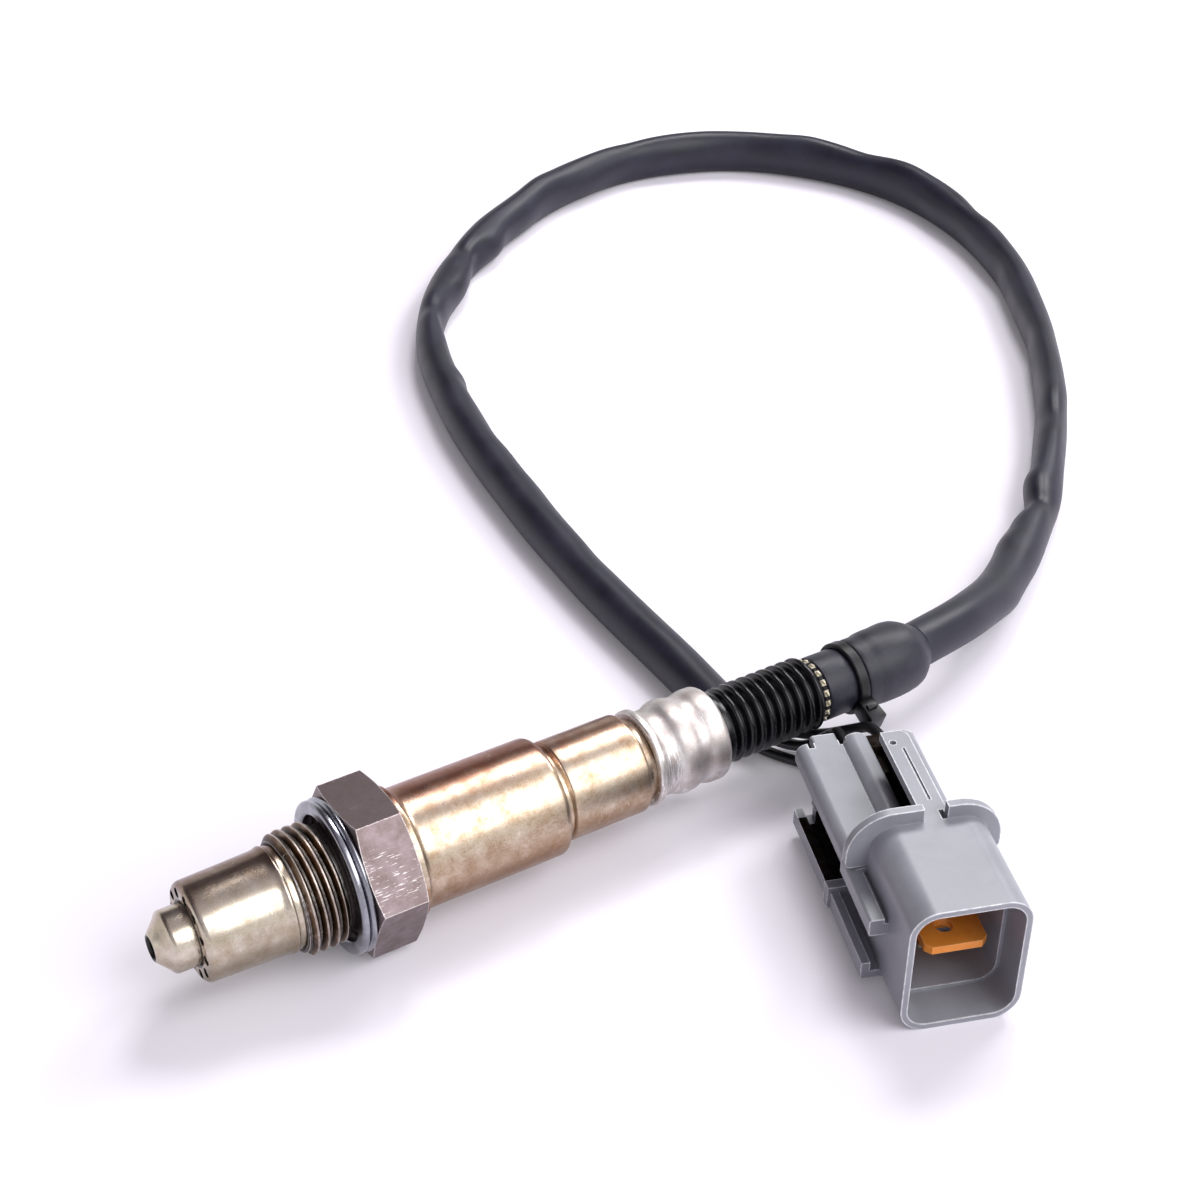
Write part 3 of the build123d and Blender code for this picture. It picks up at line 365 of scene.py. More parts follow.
@dataclass(frozen=True)
class Woven(Moulded):
    """Woven yarn: pale strands round a dark core that shows between them."""

    core: str = "#0E0E11"
    strands: int = 18

    def surface(self, nodes: Nodes) -> dict[str, Any]:
        """Make what the shader takes, with the gaps between the strands darkened.

        Args:
            nodes: The material's nodes.

        Returns:
            Values and sockets.
        """
        taken = super().surface(nodes)
        up = nodes.add("SeparateXYZ", {"Vector": nodes.place}, "Z")
        turn = nodes.add("Math", {"operation": "ARCTAN2", 0: up, 1: up.node.outputs["Y"]})
        count = nodes.add("Math", {"operation": "MULTIPLY_ADD", 0: turn, 1: self.strands / TURN, 2: 50.0})
        part = nodes.add("Math", {"operation": "FRACT", 0: count})
        aside = nodes.add("Math", {"operation": "SUBTRACT", 0: part, 1: 0.5})
        away = nodes.add("Math", {"operation": "ABSOLUTE", 0: aside})
        shown = nodes.add("MapRange", {"Value": away, "From Min": 0.32, "From Max": 0.25})
        taken["Base Color"] = nodes.add("Mix", {"data_type": "RGBA", 0: shown, 6: linear(self.core),
                                                7: taken["Base Color"]}, 2)
        return taken


# Zinc-plated steel that heat has browned: dull, with bright edges, partly cuts and partly painted highlight.
# The rolled thread's roots are painted dark as shade, and its crests paler, partly rubbing and partly painted
# highlight.
PLATED_STEEL = ThreadedMetal(
    "worn_plated_steel", "#84777A", "#70625F", edge="#F2ECEA", edge_share=0.9, scratch="#E6E0DE",
    scratch_mm=(1.9, 0.13, 0.6), scratch_share=0.6, patch_mm=2.2, smooth=0.36, rough=0.48, bump=0.3,
    flank="#5E4733", crest="#8A7869")
# Pressed and rolled steel strip, bright.
RING_STEEL = Metal("pressed_ring_steel", "#A6A7AE", "#7D7E86", scratch="#E4E4E8", patch_mm=2.5, smooth=0.18,
                   rough=0.3)
# Stainless steel that hot gas has tinted straw to brown, with painted darker reflections along its upper back
# and underneath.
TUBE_STEEL = TintedMetal(
    "tube_steel_tint_and_painted_reflection", "#D2C9BC", "#AE9F8A", scratch="#F0EADF", scratch_share=0.68, patch_mm=2.6,
    smooth=0.18, rough=0.32, bump=0.12, top_tint_and_reflection="#5E3A2C", low_tint_and_reflection="#7C6E56", tint_mm=7.0)
# The welded sleeve: heat tint from the weld, with painted reflection making its back dark copper and its
# underside tan.
SLEEVE_STEEL = TintedMetal(
    "sleeve_steel_tint_and_painted_reflection", "#D3C5B3", "#A0856A", scratch="#F6F0E8", patch_mm=2.4, smooth=0.24, rough=0.38,
    bump=0.14, top_tint_and_reflection="#7C4232", low_tint_and_reflection="#80593A", tint_mm=8.2)
# Drawn stainless cap: bright and satin, with fine streaks round it from the crimping jaws.
FERRULE_STEEL = Metal(
    "bright_crimped_steel", "#D2CFCD", "#B4A8A3", scratch="#FFFFFF", scratch_mm=(0.16, 2.4, 2.4),
    scratch_share=0.52, patch_mm=2.4, smooth=0.42, rough=0.54, bump=0.5)
# Hardened spring strip: grey, with a dull polish.
SPRING_STEEL = Metal("hardened_spring_strip", "#9A9A98", "#7F7F7C", scratch="#C9C9C8", patch_mm=2.0, rough=0.4)
# Tinned brass: straw-pale and bright.
CONTACT_METAL = Metal("tinned_brass", "#C8BFA6", "#A99E84", scratch="#E6E1D2", patch_mm=1.0, smooth=0.2,
                      rough=0.35)
# Fired alumina: pale, hard, with a satin face.
CERAMIC = Moulded("alumina_ceramic", "#EBE6DC", "#DCD5C8", roughness=0.6, ior=1.7, mottle_mm=2.0, grain_mm=0.2,
                  bump=0.2)
# Talc pressed round the ceramic: chalky, with a coarse broken skin.
POWDER = Moulded("pressed_talc", "#C9C2B2", "#B4AC9B", roughness=0.85, mottle_mm=1.0, grain_mm=0.15, bump=0.5)
# Moulded rubber: near black, with a soft gloss that shows each rib as a line.
BLACK_RUBBER = Moulded("glossy_black_rubber", "#0A0A0F", "#060609", roughness=0.26, ior=1.42, mottle_mm=3.0,
                       grain_mm=0.3, bump=0.12)
# Woven glass yarn: cream, rough and soft.
BRAID = Woven("woven_glass_yarn", "#E9E3CF", "#C9BE9F", roughness=0.8, mottle_mm=0.8, grain_mm=0.15, bump=0.6)
# Shrunk polyolefin tube: charcoal, matte, wrinkled finely where it shrank.
SHRINK = Moulded("matte_shrink_tube", "#272733", "#1B1B25", roughness=0.46, spread=0.14, ior=1.43,
                 mottle_mm=1.6,
                 grain_mm=0.35, bump=0.4)
# Black nylon strap: moulded smooth, with a soft highlight along it.
TIE_NYLON = Moulded("black_nylon_strap", "#0C0C10", "#08080B", roughness=0.4, ior=1.4, mottle_mm=3.0,
                    grain_mm=0.3)
# Plasticised vinyl sleeving: blue-black with a soft sheen.
VINYL = Moulded("black_vinyl_sleeving", "#1E1E2E", "#131320", roughness=0.44, spread=0.14, ior=1.45,
                mottle_mm=7.0,
                grain_mm=0.5, bump=0.12)
# Extruded wire insulation: even black with a soft gloss.
WIRE = Moulded("black_wire_insulation", "#101014", "#0A0A0D", roughness=0.35, mottle_mm=2.0, grain_mm=0.3)
# Glass-filled nylon: cool grey, with a fine spark-eroded skin and a painted highlight along its edges.
GREY_NYLON = Moulded("grey_glass_filled_nylon", "#8F9198", "#85878E", edge="#FAFAFC", edge_share=0.9,
                     edge_mm=0.38,
                     roughness=0.38, ior=1.53, mottle_mm=8.0, grain_mm=0.22)
# Orange nylon: a satin moulded face with a painted highlight along its edges.
ORANGE_NYLON = Moulded("orange_nylon", "#F4983A", "#E98A2C", edge="#F8C286", edge_share=0.6, roughness=0.38,
                       ior=1.53, mottle_mm=4.0, bump=0.1)
# Soft silicone seal: brown-red and dull.
SEAL_RUBBER = Moulded("dark_seal_rubber", "#3A2420", "#2E1C19", roughness=0.6, mottle_mm=1.0, grain_mm=0.2,
                      bump=0.2)

CAD_FINISHES: dict[str, Finish] = {
    "hex_housing": PLATED_STEEL, "sealing_ring": RING_STEEL, "outer_protection_tube": TUBE_STEEL,
    "inner_protection_tube": TUBE_STEEL, "sensing_element": CERAMIC, "lower_ceramic_bush": CERAMIC,
    "powder_packing": POWDER, "upper_ceramic_bush": CERAMIC, "disc_spring": SPRING_STEEL,
    "protective_sleeve": SLEEVE_STEEL, "contact_holder": CERAMIC, "holder_clamp_ring": SPRING_STEEL,
    "cable_grommet": BLACK_RUBBER, "crimp_ferrule": FERRULE_STEEL, "corrugated_boot": BLACK_RUBBER,
    "glass_braid_sleeve": BRAID, "shrink_neck": SHRINK, "cable_tie": TIE_NYLON, "shrink_boot": SHRINK,
    "connector_shell": GREY_NYLON, "terminal_lock": ORANGE_NYLON, "contact_spring": CONTACT_METAL,
    "sensor_lead": WIRE, "pin_terminal": CONTACT_METAL, "wire_seal": SEAL_RUBBER,
    "tail_wire": WIRE, "harness_sleeve": VINYL,
}


# ---- the bench ---------------------------------------------------------------------------------


class Cut(Enum):
    """The way in which a cutter changes a piece."""

    KEEP_COMMON = "INTERSECT"
    TAKE_AWAY = "DIFFERENCE"


def clear_selection() -> None:
    """Leave edit mode and deselect everything."""
    if bpy.context.object and bpy.context.object.mode != "OBJECT":
        bpy.ops.object.mode_set(mode="OBJECT")
    bpy.ops.object.select_all(action="DESELECT")


def take(piece: Piece) -> None:
    """Make a piece the only selected and the active one.

    Args:
        piece: The piece.
    """
    clear_selection()
    piece.select_set(True)
    bpy.context.view_layer.objects.active = piece


@contextmanager
def editing(piece: Piece) -> Iterator[None]:
    """Open a piece in edit mode with all of it selected, and close it at the end.

    Args:
        piece: The piece.

    Yields:
        Nothing.
    """
    take(piece)
    bpy.ops.object.mode_set(mode="EDIT")
    bpy.ops.mesh.select_all(action="SELECT")
    yield
    bpy.ops.object.mode_set(mode="OBJECT")


def settle(piece: Piece) -> None:
    """Put a piece's place into its mesh."""
    take(piece)
    bpy.ops.object.transform_apply(location=True, rotation=True, scale=True)


def copies_round(piece: Piece, count: int, uneven: float = 0.0) -> list[Piece]:
    """Copy a piece round the sensor's axis.

    Args:
        piece: The first one.
        count: How many there are in the end.
        uneven: How far the copies stray from even steps, as a share of a step.

    Returns:
        The piece and its copies.
    """
    pieces = [piece]
    for step in range(1, count):
        take(piece)
        bpy.ops.object.duplicate(linked=False)
        copy = bpy.context.object
        copy.rotation_euler = (TURN * (step + uneven * math.sin(step * 2.6)) / count, 0, 0)
        settle(copy)
        pieces.append(copy)
    return pieces


def join(pieces: Sequence[Piece], name: str) -> Piece:
    """Join pieces into one.

    Args:
        pieces: The pieces; the first one stays.
        name: The name of the joined piece.

    Returns:
        The joined piece.
    """
    take(pieces[0])
    for piece in pieces:
        piece.select_set(True)
    bpy.ops.object.join()
    pieces[0].name = name
    return pieces[0]


def pick_faces(piece: Piece, test: Callable[[bpy.types.MeshPolygon], bool]) -> None:
    """Select a piece's faces that pass a test, and leave it open in edit mode.

    Args:
        piece: The piece.
        test: Gets a face and says whether it is selected.
    """
    with editing(piece):
        bpy.ops.mesh.select_mode(type="FACE")
        bpy.ops.mesh.select_all(action="DESELECT")
    for face in piece.data.polygons:
        face.select = test(face)
    bpy.ops.object.mode_set(mode="EDIT")


def block(place: Sequence[float], size: Sequence[float], yaw: float = 0.0) -> Piece:
    """Add a block to shape or to cut with.

    Args:
        place: Its middle in metres.
        size: Its sizes in mm.
        yaw: Its turn about the vertical, in radians.

    Returns:
        The block.
    """
    clear_selection()
    bpy.ops.mesh.primitive_cube_add(size=MM)
    piece = bpy.context.object
    piece.scale = size
    piece.rotation_euler = (0, 0, yaw)
    piece.location = place
    settle(piece)
    return piece


def apply_modifier(piece: Piece, kind: str, **settings: Any) -> None:
    """Add a modifier with its settings and apply it.

    Args:
        piece: The piece.
        kind: The modifier's type.
        settings: The modifier's settings.
    """
    take(piece)
    bpy.ops.object.modifier_add(type=kind)
    modifier = piece.modifiers[-1]
    for name, value in settings.items():
        setattr(modifier, name, value)
    bpy.ops.object.modifier_apply(modifier=modifier.name)


def trim(piece: Piece, cutter: Piece, cut: Cut) -> None:
    """Change a piece with a cutter, and drop the cutter.

    Args:
        piece: The piece.
        cutter: The cutter.
        cut: What stays.
    """
    apply_modifier(piece, "BOOLEAN", operation=cut.value, object=cutter, solver="EXACT")
    bpy.data.objects.remove(cutter)


def break_edges(piece: Piece, size: float, angle: float = 38.0) -> None:
    """Round a piece's sharp edges, as far as the shortest ones leave room.

    Args:
        piece: The piece.
        size: Radius of the edges in mm.
        angle: Edges sharper than this are rounded, in degrees.
    """
    apply_modifier(piece, "BEVEL", width=size * MM, segments=2, limit_method="ANGLE",
                   angle_limit=math.radians(angle), use_clamp_overlap=True)


def mark_painted_shade(piece: Piece, test: Callable[[Vector, Vector], bool]) -> None:
    """Mark the faces of a piece's recesses, so that its finish paints shade on them.

    Args:
        piece: The piece.
        test: Gets a face's middle in mm and its normal, and says whether shade is painted there.
    """
    mesh = piece.data
    mark = mesh.attributes.new("painted_shade", "FLOAT", "CORNER")
    for face in mesh.polygons:
        shaded = float(test(face.center / MM, face.normal))
        for corner in face.loop_indices:
            mark.data[corner].value = shaded


def trace(name: str, outline: Outline) -> Piece:
    """Draw an outline beside the sensor's axis as a chain of edges.

    Args:
        name: The chain's name.
        outline: Places along the axis and radii, in mm.

    Returns:
        The chain.
    """
    clear_selection()
    bpy.ops.mesh.primitive_plane_add(size=MM)
    piece = bpy.context.object
    piece.name = name
    with editing(piece):
        bpy.ops.mesh.select_mode(type="VERT")
        bpy.ops.mesh.select_all(action="SELECT")
        bpy.ops.mesh.merge(type="CENTER")
        x, radius = outline[0]
        bpy.ops.transform.translate(value=(x * MM, 0, radius * MM))
        for before, after in zip(outline, outline[1:]):
            step = ((after[0] - before[0]) * MM, 0, (after[1] - before[1]) * MM)
            bpy.ops.mesh.extrude_vertices_move(TRANSFORM_OT_translate={"value": step})
    return piece


def lathe(name: str, outline: Outline, steps: int = 144) -> Piece:
    """Turn a closed outline about the sensor's axis.

    Args:
        name: The piece's name.
        outline: Places along the axis and radii, in mm.
        steps: Facets round the axis.

    Returns:
        The turned piece.
    """
    piece = trace(name, [*outline, outline[0]])
    with editing(piece):
        bpy.ops.mesh.spin(steps=steps, angle=TURN, center=(0, 0, 0), axis=(1, 0, 0))
        bpy.ops.mesh.select_all(action="SELECT")
        bpy.ops.mesh.remove_doubles(threshold=2e-6)
        bpy.ops.mesh.normals_make_consistent(inside=False)
    return piece


def arc(x: float, radius: float, size: float, start: float, end: float, steps: int = 5) -> Outline:
    """Points of a rounded corner in an outline.

    Args:
        x: Middle of the arc along the axis.
        radius: Middle of the arc from the axis.
        size: The arc's own radius.
        start: First angle in degrees from the axis direction.
        end: Last angle in degrees.
        steps: Number of runs.

    Returns:
        The points in mm.
    """
    angles = [math.radians(start + (end - start) * k / steps) for k in range(steps + 1)]
    return [(x + size * math.cos(angle), radius + size * math.sin(angle)) for angle in angles]


def smooth_step(value: float, low: float, high: float) -> float:
    """Rise from zero to one between two values.

    Args:
        value: The value.
        low: Where it starts to rise.
        high: Where it has risen.

    Returns:
        The share between zero and one.
    """
    share = min(1.0, max(0.0, (value - low) / (high - low)))
    return share * share * (3 - 2 * share)


def merged_copy(node: str, name: str) -> Piece:
    """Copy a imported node's mesh with its doubles merged and its flat faces whole.

    Args:
        node: The node's name.
        name: The copy's name.

    Returns:
        The copy.
    """
    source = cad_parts[node]
    clear_selection()
    source.hide_set(False)
    take(source)
    bpy.ops.object.duplicate(linked=False)
    piece = bpy.context.object
    piece.name = name
    with editing(piece):
        bpy.ops.mesh.remove_doubles(threshold=2e-6)
        bpy.ops.mesh.dissolve_limited(angle_limit=math.radians(1.0))
    return piece


def finish(piece: Piece, coat: Finish, node: str, smooth: float = 35.0, flat: bool = False) -> None:
    """Smooth a new piece, give it its finish, parent it to the root and hide the CAD node that it replaces.

    Args:
        piece: The new piece.
        coat: Its finish.
        node: The CAD node that it replaces.
        smooth: Edges sharper than this stay crisp, in degrees.
        flat: Whether its large faces are flat, and stay so beside their rounded edges.
    """
    settle(piece)
    bpy.ops.object.shade_smooth_by_angle(angle=math.radians(smooth))
    if flat:
        apply_modifier(piece, "WEIGHTED_NORMAL", weight=60, keep_sharp=True)
    coat_with(piece, coat)
    declare(piece, node)


def coat_with(piece: Piece, coat: Finish) -> None:
    """Give a piece its finish in place of what it wore."""
    piece.data.materials.clear()
    piece.data.materials.append(coat.material())


def declare(piece: Piece, node: str) -> None:
    """Parent a new piece to the root, hide the CAD node that it replaces and log it.

    Args:
        piece: The new piece.
        node: The CAD node that it replaces.
    """
    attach(piece, "root")
    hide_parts(node)
    LOG.info("made %s", piece.name)


# ---- the sensor --------------------------------------------------------------------------------


@dataclass
class ProtectionTubes:
    """The drawn outer tube with its ring of gas holes, and the nose of the inner tube."""

    front: float = -20.6
    rear: float = -3.7
    front_radius: float = 7.25
    rear_radius: float = 7.6
    wall: float = 0.45
    edge_round: float = 1.0
    bead: float = -8.0
    hole_count: int = 12
    hole_radius: float = 0.74
    hole_ring: float = 5.9
    nose_radius: float = 4.5
    gas_hole_radius: float = 1.64

    def outer(self) -> Piece:
        """Turn the outer tube and punch its holes."""
        f, edge, r = self.front, self.edge_round, self.rear_radius
        opening = self.nose_radius + 0.06
        piece = lathe("outer_tube", [
            (f + 0.25, opening), (f + 0.08, opening + 0.12), (f, opening + 0.4), (f, self.front_radius - edge),
            *arc(f + edge, self.front_radius - edge, edge, 180, 93, 7), (-17.0, 7.33), (-13.0, 7.42),
            (self.bead - 1.2, r - 0.06), (self.bead - 0.8, r - 0.02),
            *arc(self.bead, r - 0.28, 0.48, 130, 50, 5), (self.bead + 0.6, r), (self.bead + 1.0, r - 0.02),
            (-6.9, r - 0.02), (self.rear, r - 0.02), (self.rear, r - self.wall), (self.bead, r - self.wall),
            (f + edge, self.front_radius - self.wall), (f + self.wall, self.front_radius - edge),
            (f + self.wall, opening)], steps=180)
        clear_selection()
        bpy.ops.mesh.primitive_cylinder_add(vertices=24, radius=self.hole_radius * MM, depth=3 * MM,
                                            rotation=(0, math.pi / 2, 0))
        punch = bpy.context.object
        punch.location = (f * MM, self.hole_ring * MM, 0)
        settle(punch)
        trim(piece, join(copies_round(punch, self.hole_count), "punches"), Cut.TAKE_AWAY)
        return piece

    def nose(self) -> Piece:
        """Turn the nose: a round shoulder, a cone and the gas hole with its turned-in lip."""
        r = self.nose_radius
        return lathe("inner_tube", [
            (-25.6, 1.62), (-25.9, 1.66), (-26.05, 1.78), (-26.06, 1.95), (-25.9, 2.15), (-25.2, 2.88),
            (-24.5, 3.62), *arc(-23.45, r - 0.75, 0.75, 150, 92, 5), (-21.0, r), (-16.0, r), (-4.1, r),
            (-4.1, 7.1), (-3.3, 7.1), (-3.3, 4.1), (-23.3, 4.1), (-25.4, 1.9)])

    def painted_shade_inside(self, middle: Vector, normal: Vector) -> bool:
        """Whether a face looks at the axis, as the walls inside do, or lies in the gas hole.

        Args:
            middle: The face's middle in mm.
            normal: Its normal.

        Returns:
            True where shade is painted.
        """
        inward = normal.y * middle.y + normal.z * middle.z < -0.01
        return inward or math.hypot(middle.y, middle.z) < self.gas_hole_radius

    def make(self) -> None:
        """Build both tubes and dress them."""
        for piece, node in ((self.outer(), "outer_protection_tube"), (self.nose(), "inner_protection_tube")):
            # Shade is painted on the tubes' inner faces and in the nose's gas hole.
            mark_painted_shade(piece, self.painted_shade_inside)
            finish(piece, TUBE_STEEL, node, 40)


@dataclass
class ThreadedHousing:
    """The plug: an M18 x 1.5 thread, the hexagon with its rounded corners and the rear neck."""

    thread_radius: float = 9.0
    thread_root: float = 8.12
    pitch: float = 1.5
    flank: float = 0.53
    crest_width: float = 0.2
    thread_front: float = -6.7
    thread_back: float = -0.02
    bore: float = 7.65
    hex_front: float = 2.2
    hex_back: float = 9.8
    across_flats: float = 22.0
    hex_turn: float = 7.34
    chamfer: float = 0.55
    edge_round: float = 0.3

    def thread(self) -> Piece:
        """Wind one groove of the thread and trim its ends to a lead-in and a run-out."""
        crest, root, pitch = self.thread_radius, self.thread_root, self.pitch
        x = self.thread_front - 2 * pitch
        rise = x + (pitch - self.crest_width) / 2 - self.flank
        fall = x + (pitch + self.crest_width) / 2
        piece = trace("thread", [(x, root), (rise, root), (rise + self.flank, crest), (fall, crest),
                                 (fall + self.flank, root), (x + pitch, root)])
        apply_modifier(piece, "SCREW", axis="X", angle=TURN, screw_offset=pitch * MM, iterations=8, steps=96,
                       render_steps=96)
        with editing(piece):
            bpy.ops.mesh.remove_doubles(threshold=5e-6)
        for place, outer in ((self.thread_front, False), (self.thread_back, True)):
            with editing(piece):
                bpy.ops.mesh.bisect(plane_co=(place * MM, 0, 0), plane_no=(1, 0, 0), use_fill=True,
                                    clear_outer=outer, clear_inner=not outer, threshold=1e-7)
        with editing(piece):
            bpy.ops.mesh.normals_make_consistent(inside=False)
        envelope = lathe("envelope", [
            (self.thread_front, self.bore), (self.thread_front, root - 0.15),
            (self.thread_front + 1.0, crest + 0.1), (-1.25, crest + 0.1), (-0.35, root - 0.2),
            (-0.03, root - 0.2), (-0.03, self.bore)])
        trim(piece, envelope, Cut.KEEP_COMMON)
        return piece

    def hexagon(self) -> Piece:
        """Make the hexagon, its edges broken and its corners turned down at both faces."""
        front, back, chamfer = self.hex_front, self.hex_back, self.chamfer
        clear_selection()
        bpy.ops.mesh.primitive_cylinder_add(vertices=6, radius=self.across_flats / math.sqrt(3) * MM,
                                            depth=(back - front) * MM, rotation=(0, math.pi / 2, 0))
        piece = bpy.context.object
        settle(piece)
        tops = [vertex.co for vertex in piece.data.vertices if vertex.co.x > 0]
        lean = math.degrees(math.atan2(tops[0].z, tops[0].y)) % 60
        piece.rotation_euler = (math.radians(-self.hex_turn - lean), 0, 0)
        piece.location = ((front + back) / 2 * MM, 0, 0)
        settle(piece)
        flat, corner = self.across_flats / 2 + 0.1, self.across_flats / math.sqrt(3) + 0.3
        barrel = lathe("barrel", [
            (front - 0.001, 0.5), (front - 0.001, flat), (front + chamfer * 0.4, flat + 0.75),
            (front + chamfer, corner), (back - chamfer, corner), (back - chamfer * 0.4, flat + 0.75),
            (back + 0.001, flat), (back + 0.001, 0.5)], steps=180)
        trim(piece, barrel, Cut.KEEP_COMMON)
        break_edges(piece, self.edge_round, 24)
        return piece

    def neck(self) -> Piece:
        """Turn the relief under the sealing ring and the rear neck, with the bore through both."""
        return lathe("neck", [
            (-0.05, self.bore), (-0.05, 7.9), (self.hex_front + 0.3, 7.9), (self.hex_front + 0.3, 7.0),
            (self.hex_back - 0.3, 7.0), (self.hex_back - 0.3, 8.33), (16.3, 8.33), (16.8, 7.8), (16.8, 5.4),
            (16.0, 5.4), (16.0, 6.2), (-1.7, 6.2), (-1.7, 5.0), (-3.3, 5.0), (-3.3, self.bore)])

    def make(self) -> None:
        """Build the plug and dress it."""
        piece = join([self.hexagon(), self.thread(), self.neck()], "threaded_housing")
        finish(piece, PLATED_STEEL, "hex_housing", 30, flat=True)


@dataclass
class SealingRing:
    """The crush ring: sheet rolled to two lips with a slit between them."""

    bore: float = 9.25
    outer: float = 11.4
    length: float = 2.2

    def make(self) -> None:
        """Build the ring and dress it."""
        half, outer = self.length / 2, self.outer
        piece = lathe("crush_ring", [
            *arc(0.55, self.bore + 0.55, 0.55, 270, 180), *arc(0.55, outer - 0.62, 0.55, 180, 90),
            (0.9, outer - 0.12), (half - 0.03, outer - 0.55), (half + 0.02, outer - 0.9),
            (half + 0.1, outer - 0.5), *arc(self.length - 0.5, outer - 0.5, 0.5, 100, 0),
            *arc(self.length - 0.5, self.bore + 0.5, 0.5, 0, -90)],
            steps=160)
        finish(piece, RING_STEEL, "sealing_ring", 50)


@dataclass
class ProtectiveSleeve:
    """The welded sleeve: rolled collar, large section, rolled groove and the second section."""

    radius: float = 9.0
    collar: float = 9.9
    start: float = 9.8
    shoulder: float = 33.6
    groove: float = 7.1
    second: float = 7.6
    end: float = 48.6
    spigot: float = 6.3
    spigot_end: float = 51.9
    wall: float = 0.6

    def make(self) -> None:
        """Build the sleeve and dress it."""
        r, c, s = self.radius, self.collar, self.second
        x = self.start
        outline = [
            (x + 0.02, r - self.wall), (x + 0.02, c - 0.25), *arc(x + 0.3, c - 0.25, 0.25, 170, 90, 3),
            *arc(x + 1.0, c - 0.35, 0.35, 90, 10, 4), (x + 1.5, r + 0.25), (x + 1.9, r + 0.03), (x + 2.4, r),
            *[(x + 3.0 + 2.0 * k, r) for k in range(10)],
            *arc(self.shoulder - 0.2, r - 1.05, 1.05, 90, 8, 7), (self.shoulder + 0.95, self.groove + 0.25),
            *arc(self.shoulder + 1.2, self.groove + 0.2, 0.2, 180, 270, 3),
            *arc(self.shoulder + 1.75, self.groove + 0.2, 0.2, 270, 350, 3), (self.shoulder + 2.15, s - 0.12),
            *arc(self.shoulder + 2.5, s - 0.3, 0.3, 150, 90, 3),
            *[(self.shoulder + 3.2 + 2.0 * k, s) for k in range(6)],
            *arc(self.end - 0.6, s - 0.6, 0.6, 90, 10, 5), (self.end + 0.2, self.spigot + 0.2),
            (self.end + 0.6, self.spigot), (self.spigot_end, self.spigot),
            (self.spigot_end, self.spigot - self.wall), (self.end - 0.3, s - self.wall),
            (self.shoulder + 2.2, s - self.wall), (self.shoulder + 1.5, self.groove - self.wall),
            (self.shoulder + 0.9, self.groove - self.wall), (self.shoulder - 0.3, r - self.wall)]
        # The sleeve's colour is partly heat tint and partly painted reflection.
        piece = lathe("heat_tinted_sleeve", outline, steps=180)
        finish(piece, SLEEVE_STEEL, "protective_sleeve", 50)


@dataclass
class CrimpFerrule:
    """The drawn cap over the grommet: a rolled lip, two crimped waists and a turned-in rear edge."""

    start: float = 50.1
    end: float = 63.0
    radius: float = 7.45
    waists: tuple[float, float] = (3.1, 9.0)
    jaw: float = 1.3
    dent: float = 0.05
    lip_stray: float = 0.1

    def make(self) -> None:
        """Build the ferrule, press its crimps and dress it."""
        x, r = self.start, self.radius
        outline = [
            (x + 0.1, r - 1.0), *arc(x + 0.45, r - 0.4, 0.4, 180, 90, 4),
            *arc(x + 0.95, r - 0.45, 0.45, 90, 20, 4), (x + 1.6, r - 0.52), (x + 1.9, r - 0.74),
            (x + 2.4, r - 0.8), (x + 3.3, r - 0.78), (x + 3.9, r - 0.7), (x + 4.4, r - 0.5),
            (x + 4.8, r - 0.28), (x + 5.3, r - 0.15), (x + 6.0, r - 0.09), (x + 6.7, r - 0.12),
            (x + 7.2, r - 0.24), (x + 7.6, r - 0.42), (x + 8.0, r - 0.52), (x + 8.6, r - 0.55),
            (x + 9.1, r - 0.5), (x + 9.6, r - 0.34), (x + 10.1, r - 0.2), (x + 10.8, r - 0.15),
            (x + 11.5, r - 0.17), *arc(self.end - 1.1, r - 1.28, 1.1, 90, 0, 6), (self.end, 5.0),
            (self.end - 0.5, 5.0), (self.end - 0.6, r - 1.2), (x + 0.1, r - 1.1)]
        piece = lathe("crimped_ferrule", outline, steps=300)
        self.press(piece)
        finish(piece, FERRULE_STEEL, "crimp_ferrule", 60)

    def press(self, piece: Piece) -> None:
        """Leave the two waists that the jaws pressed, and the lip, a little uneven.

        Args:
            piece: The turned ferrule.
        """
        for vertex in piece.data.vertices:
            place = vertex.co / MM
            out = math.hypot(place.y, place.z)
            if out < self.radius - 1.15:
                continue
            turn = math.atan2(place.z, place.y)
            along = place.x - self.start
            grip = sum(math.exp(-((along - waist) / self.jaw) ** 2) for waist in self.waists)
            crease = noise.noise(Vector((along * 0.9, 2.6 * math.cos(turn), 2.6 * math.sin(turn))))
            dent = self.dent * (0.35 + 0.65 * grip) * crease
            lip = self.lip_stray * math.exp(-(along / 1.2) ** 2) * math.sin(3 * turn + 1.0)
            scale = (out - dent + lip) / out
            vertex.co.y *= scale
            vertex.co.z *= scale


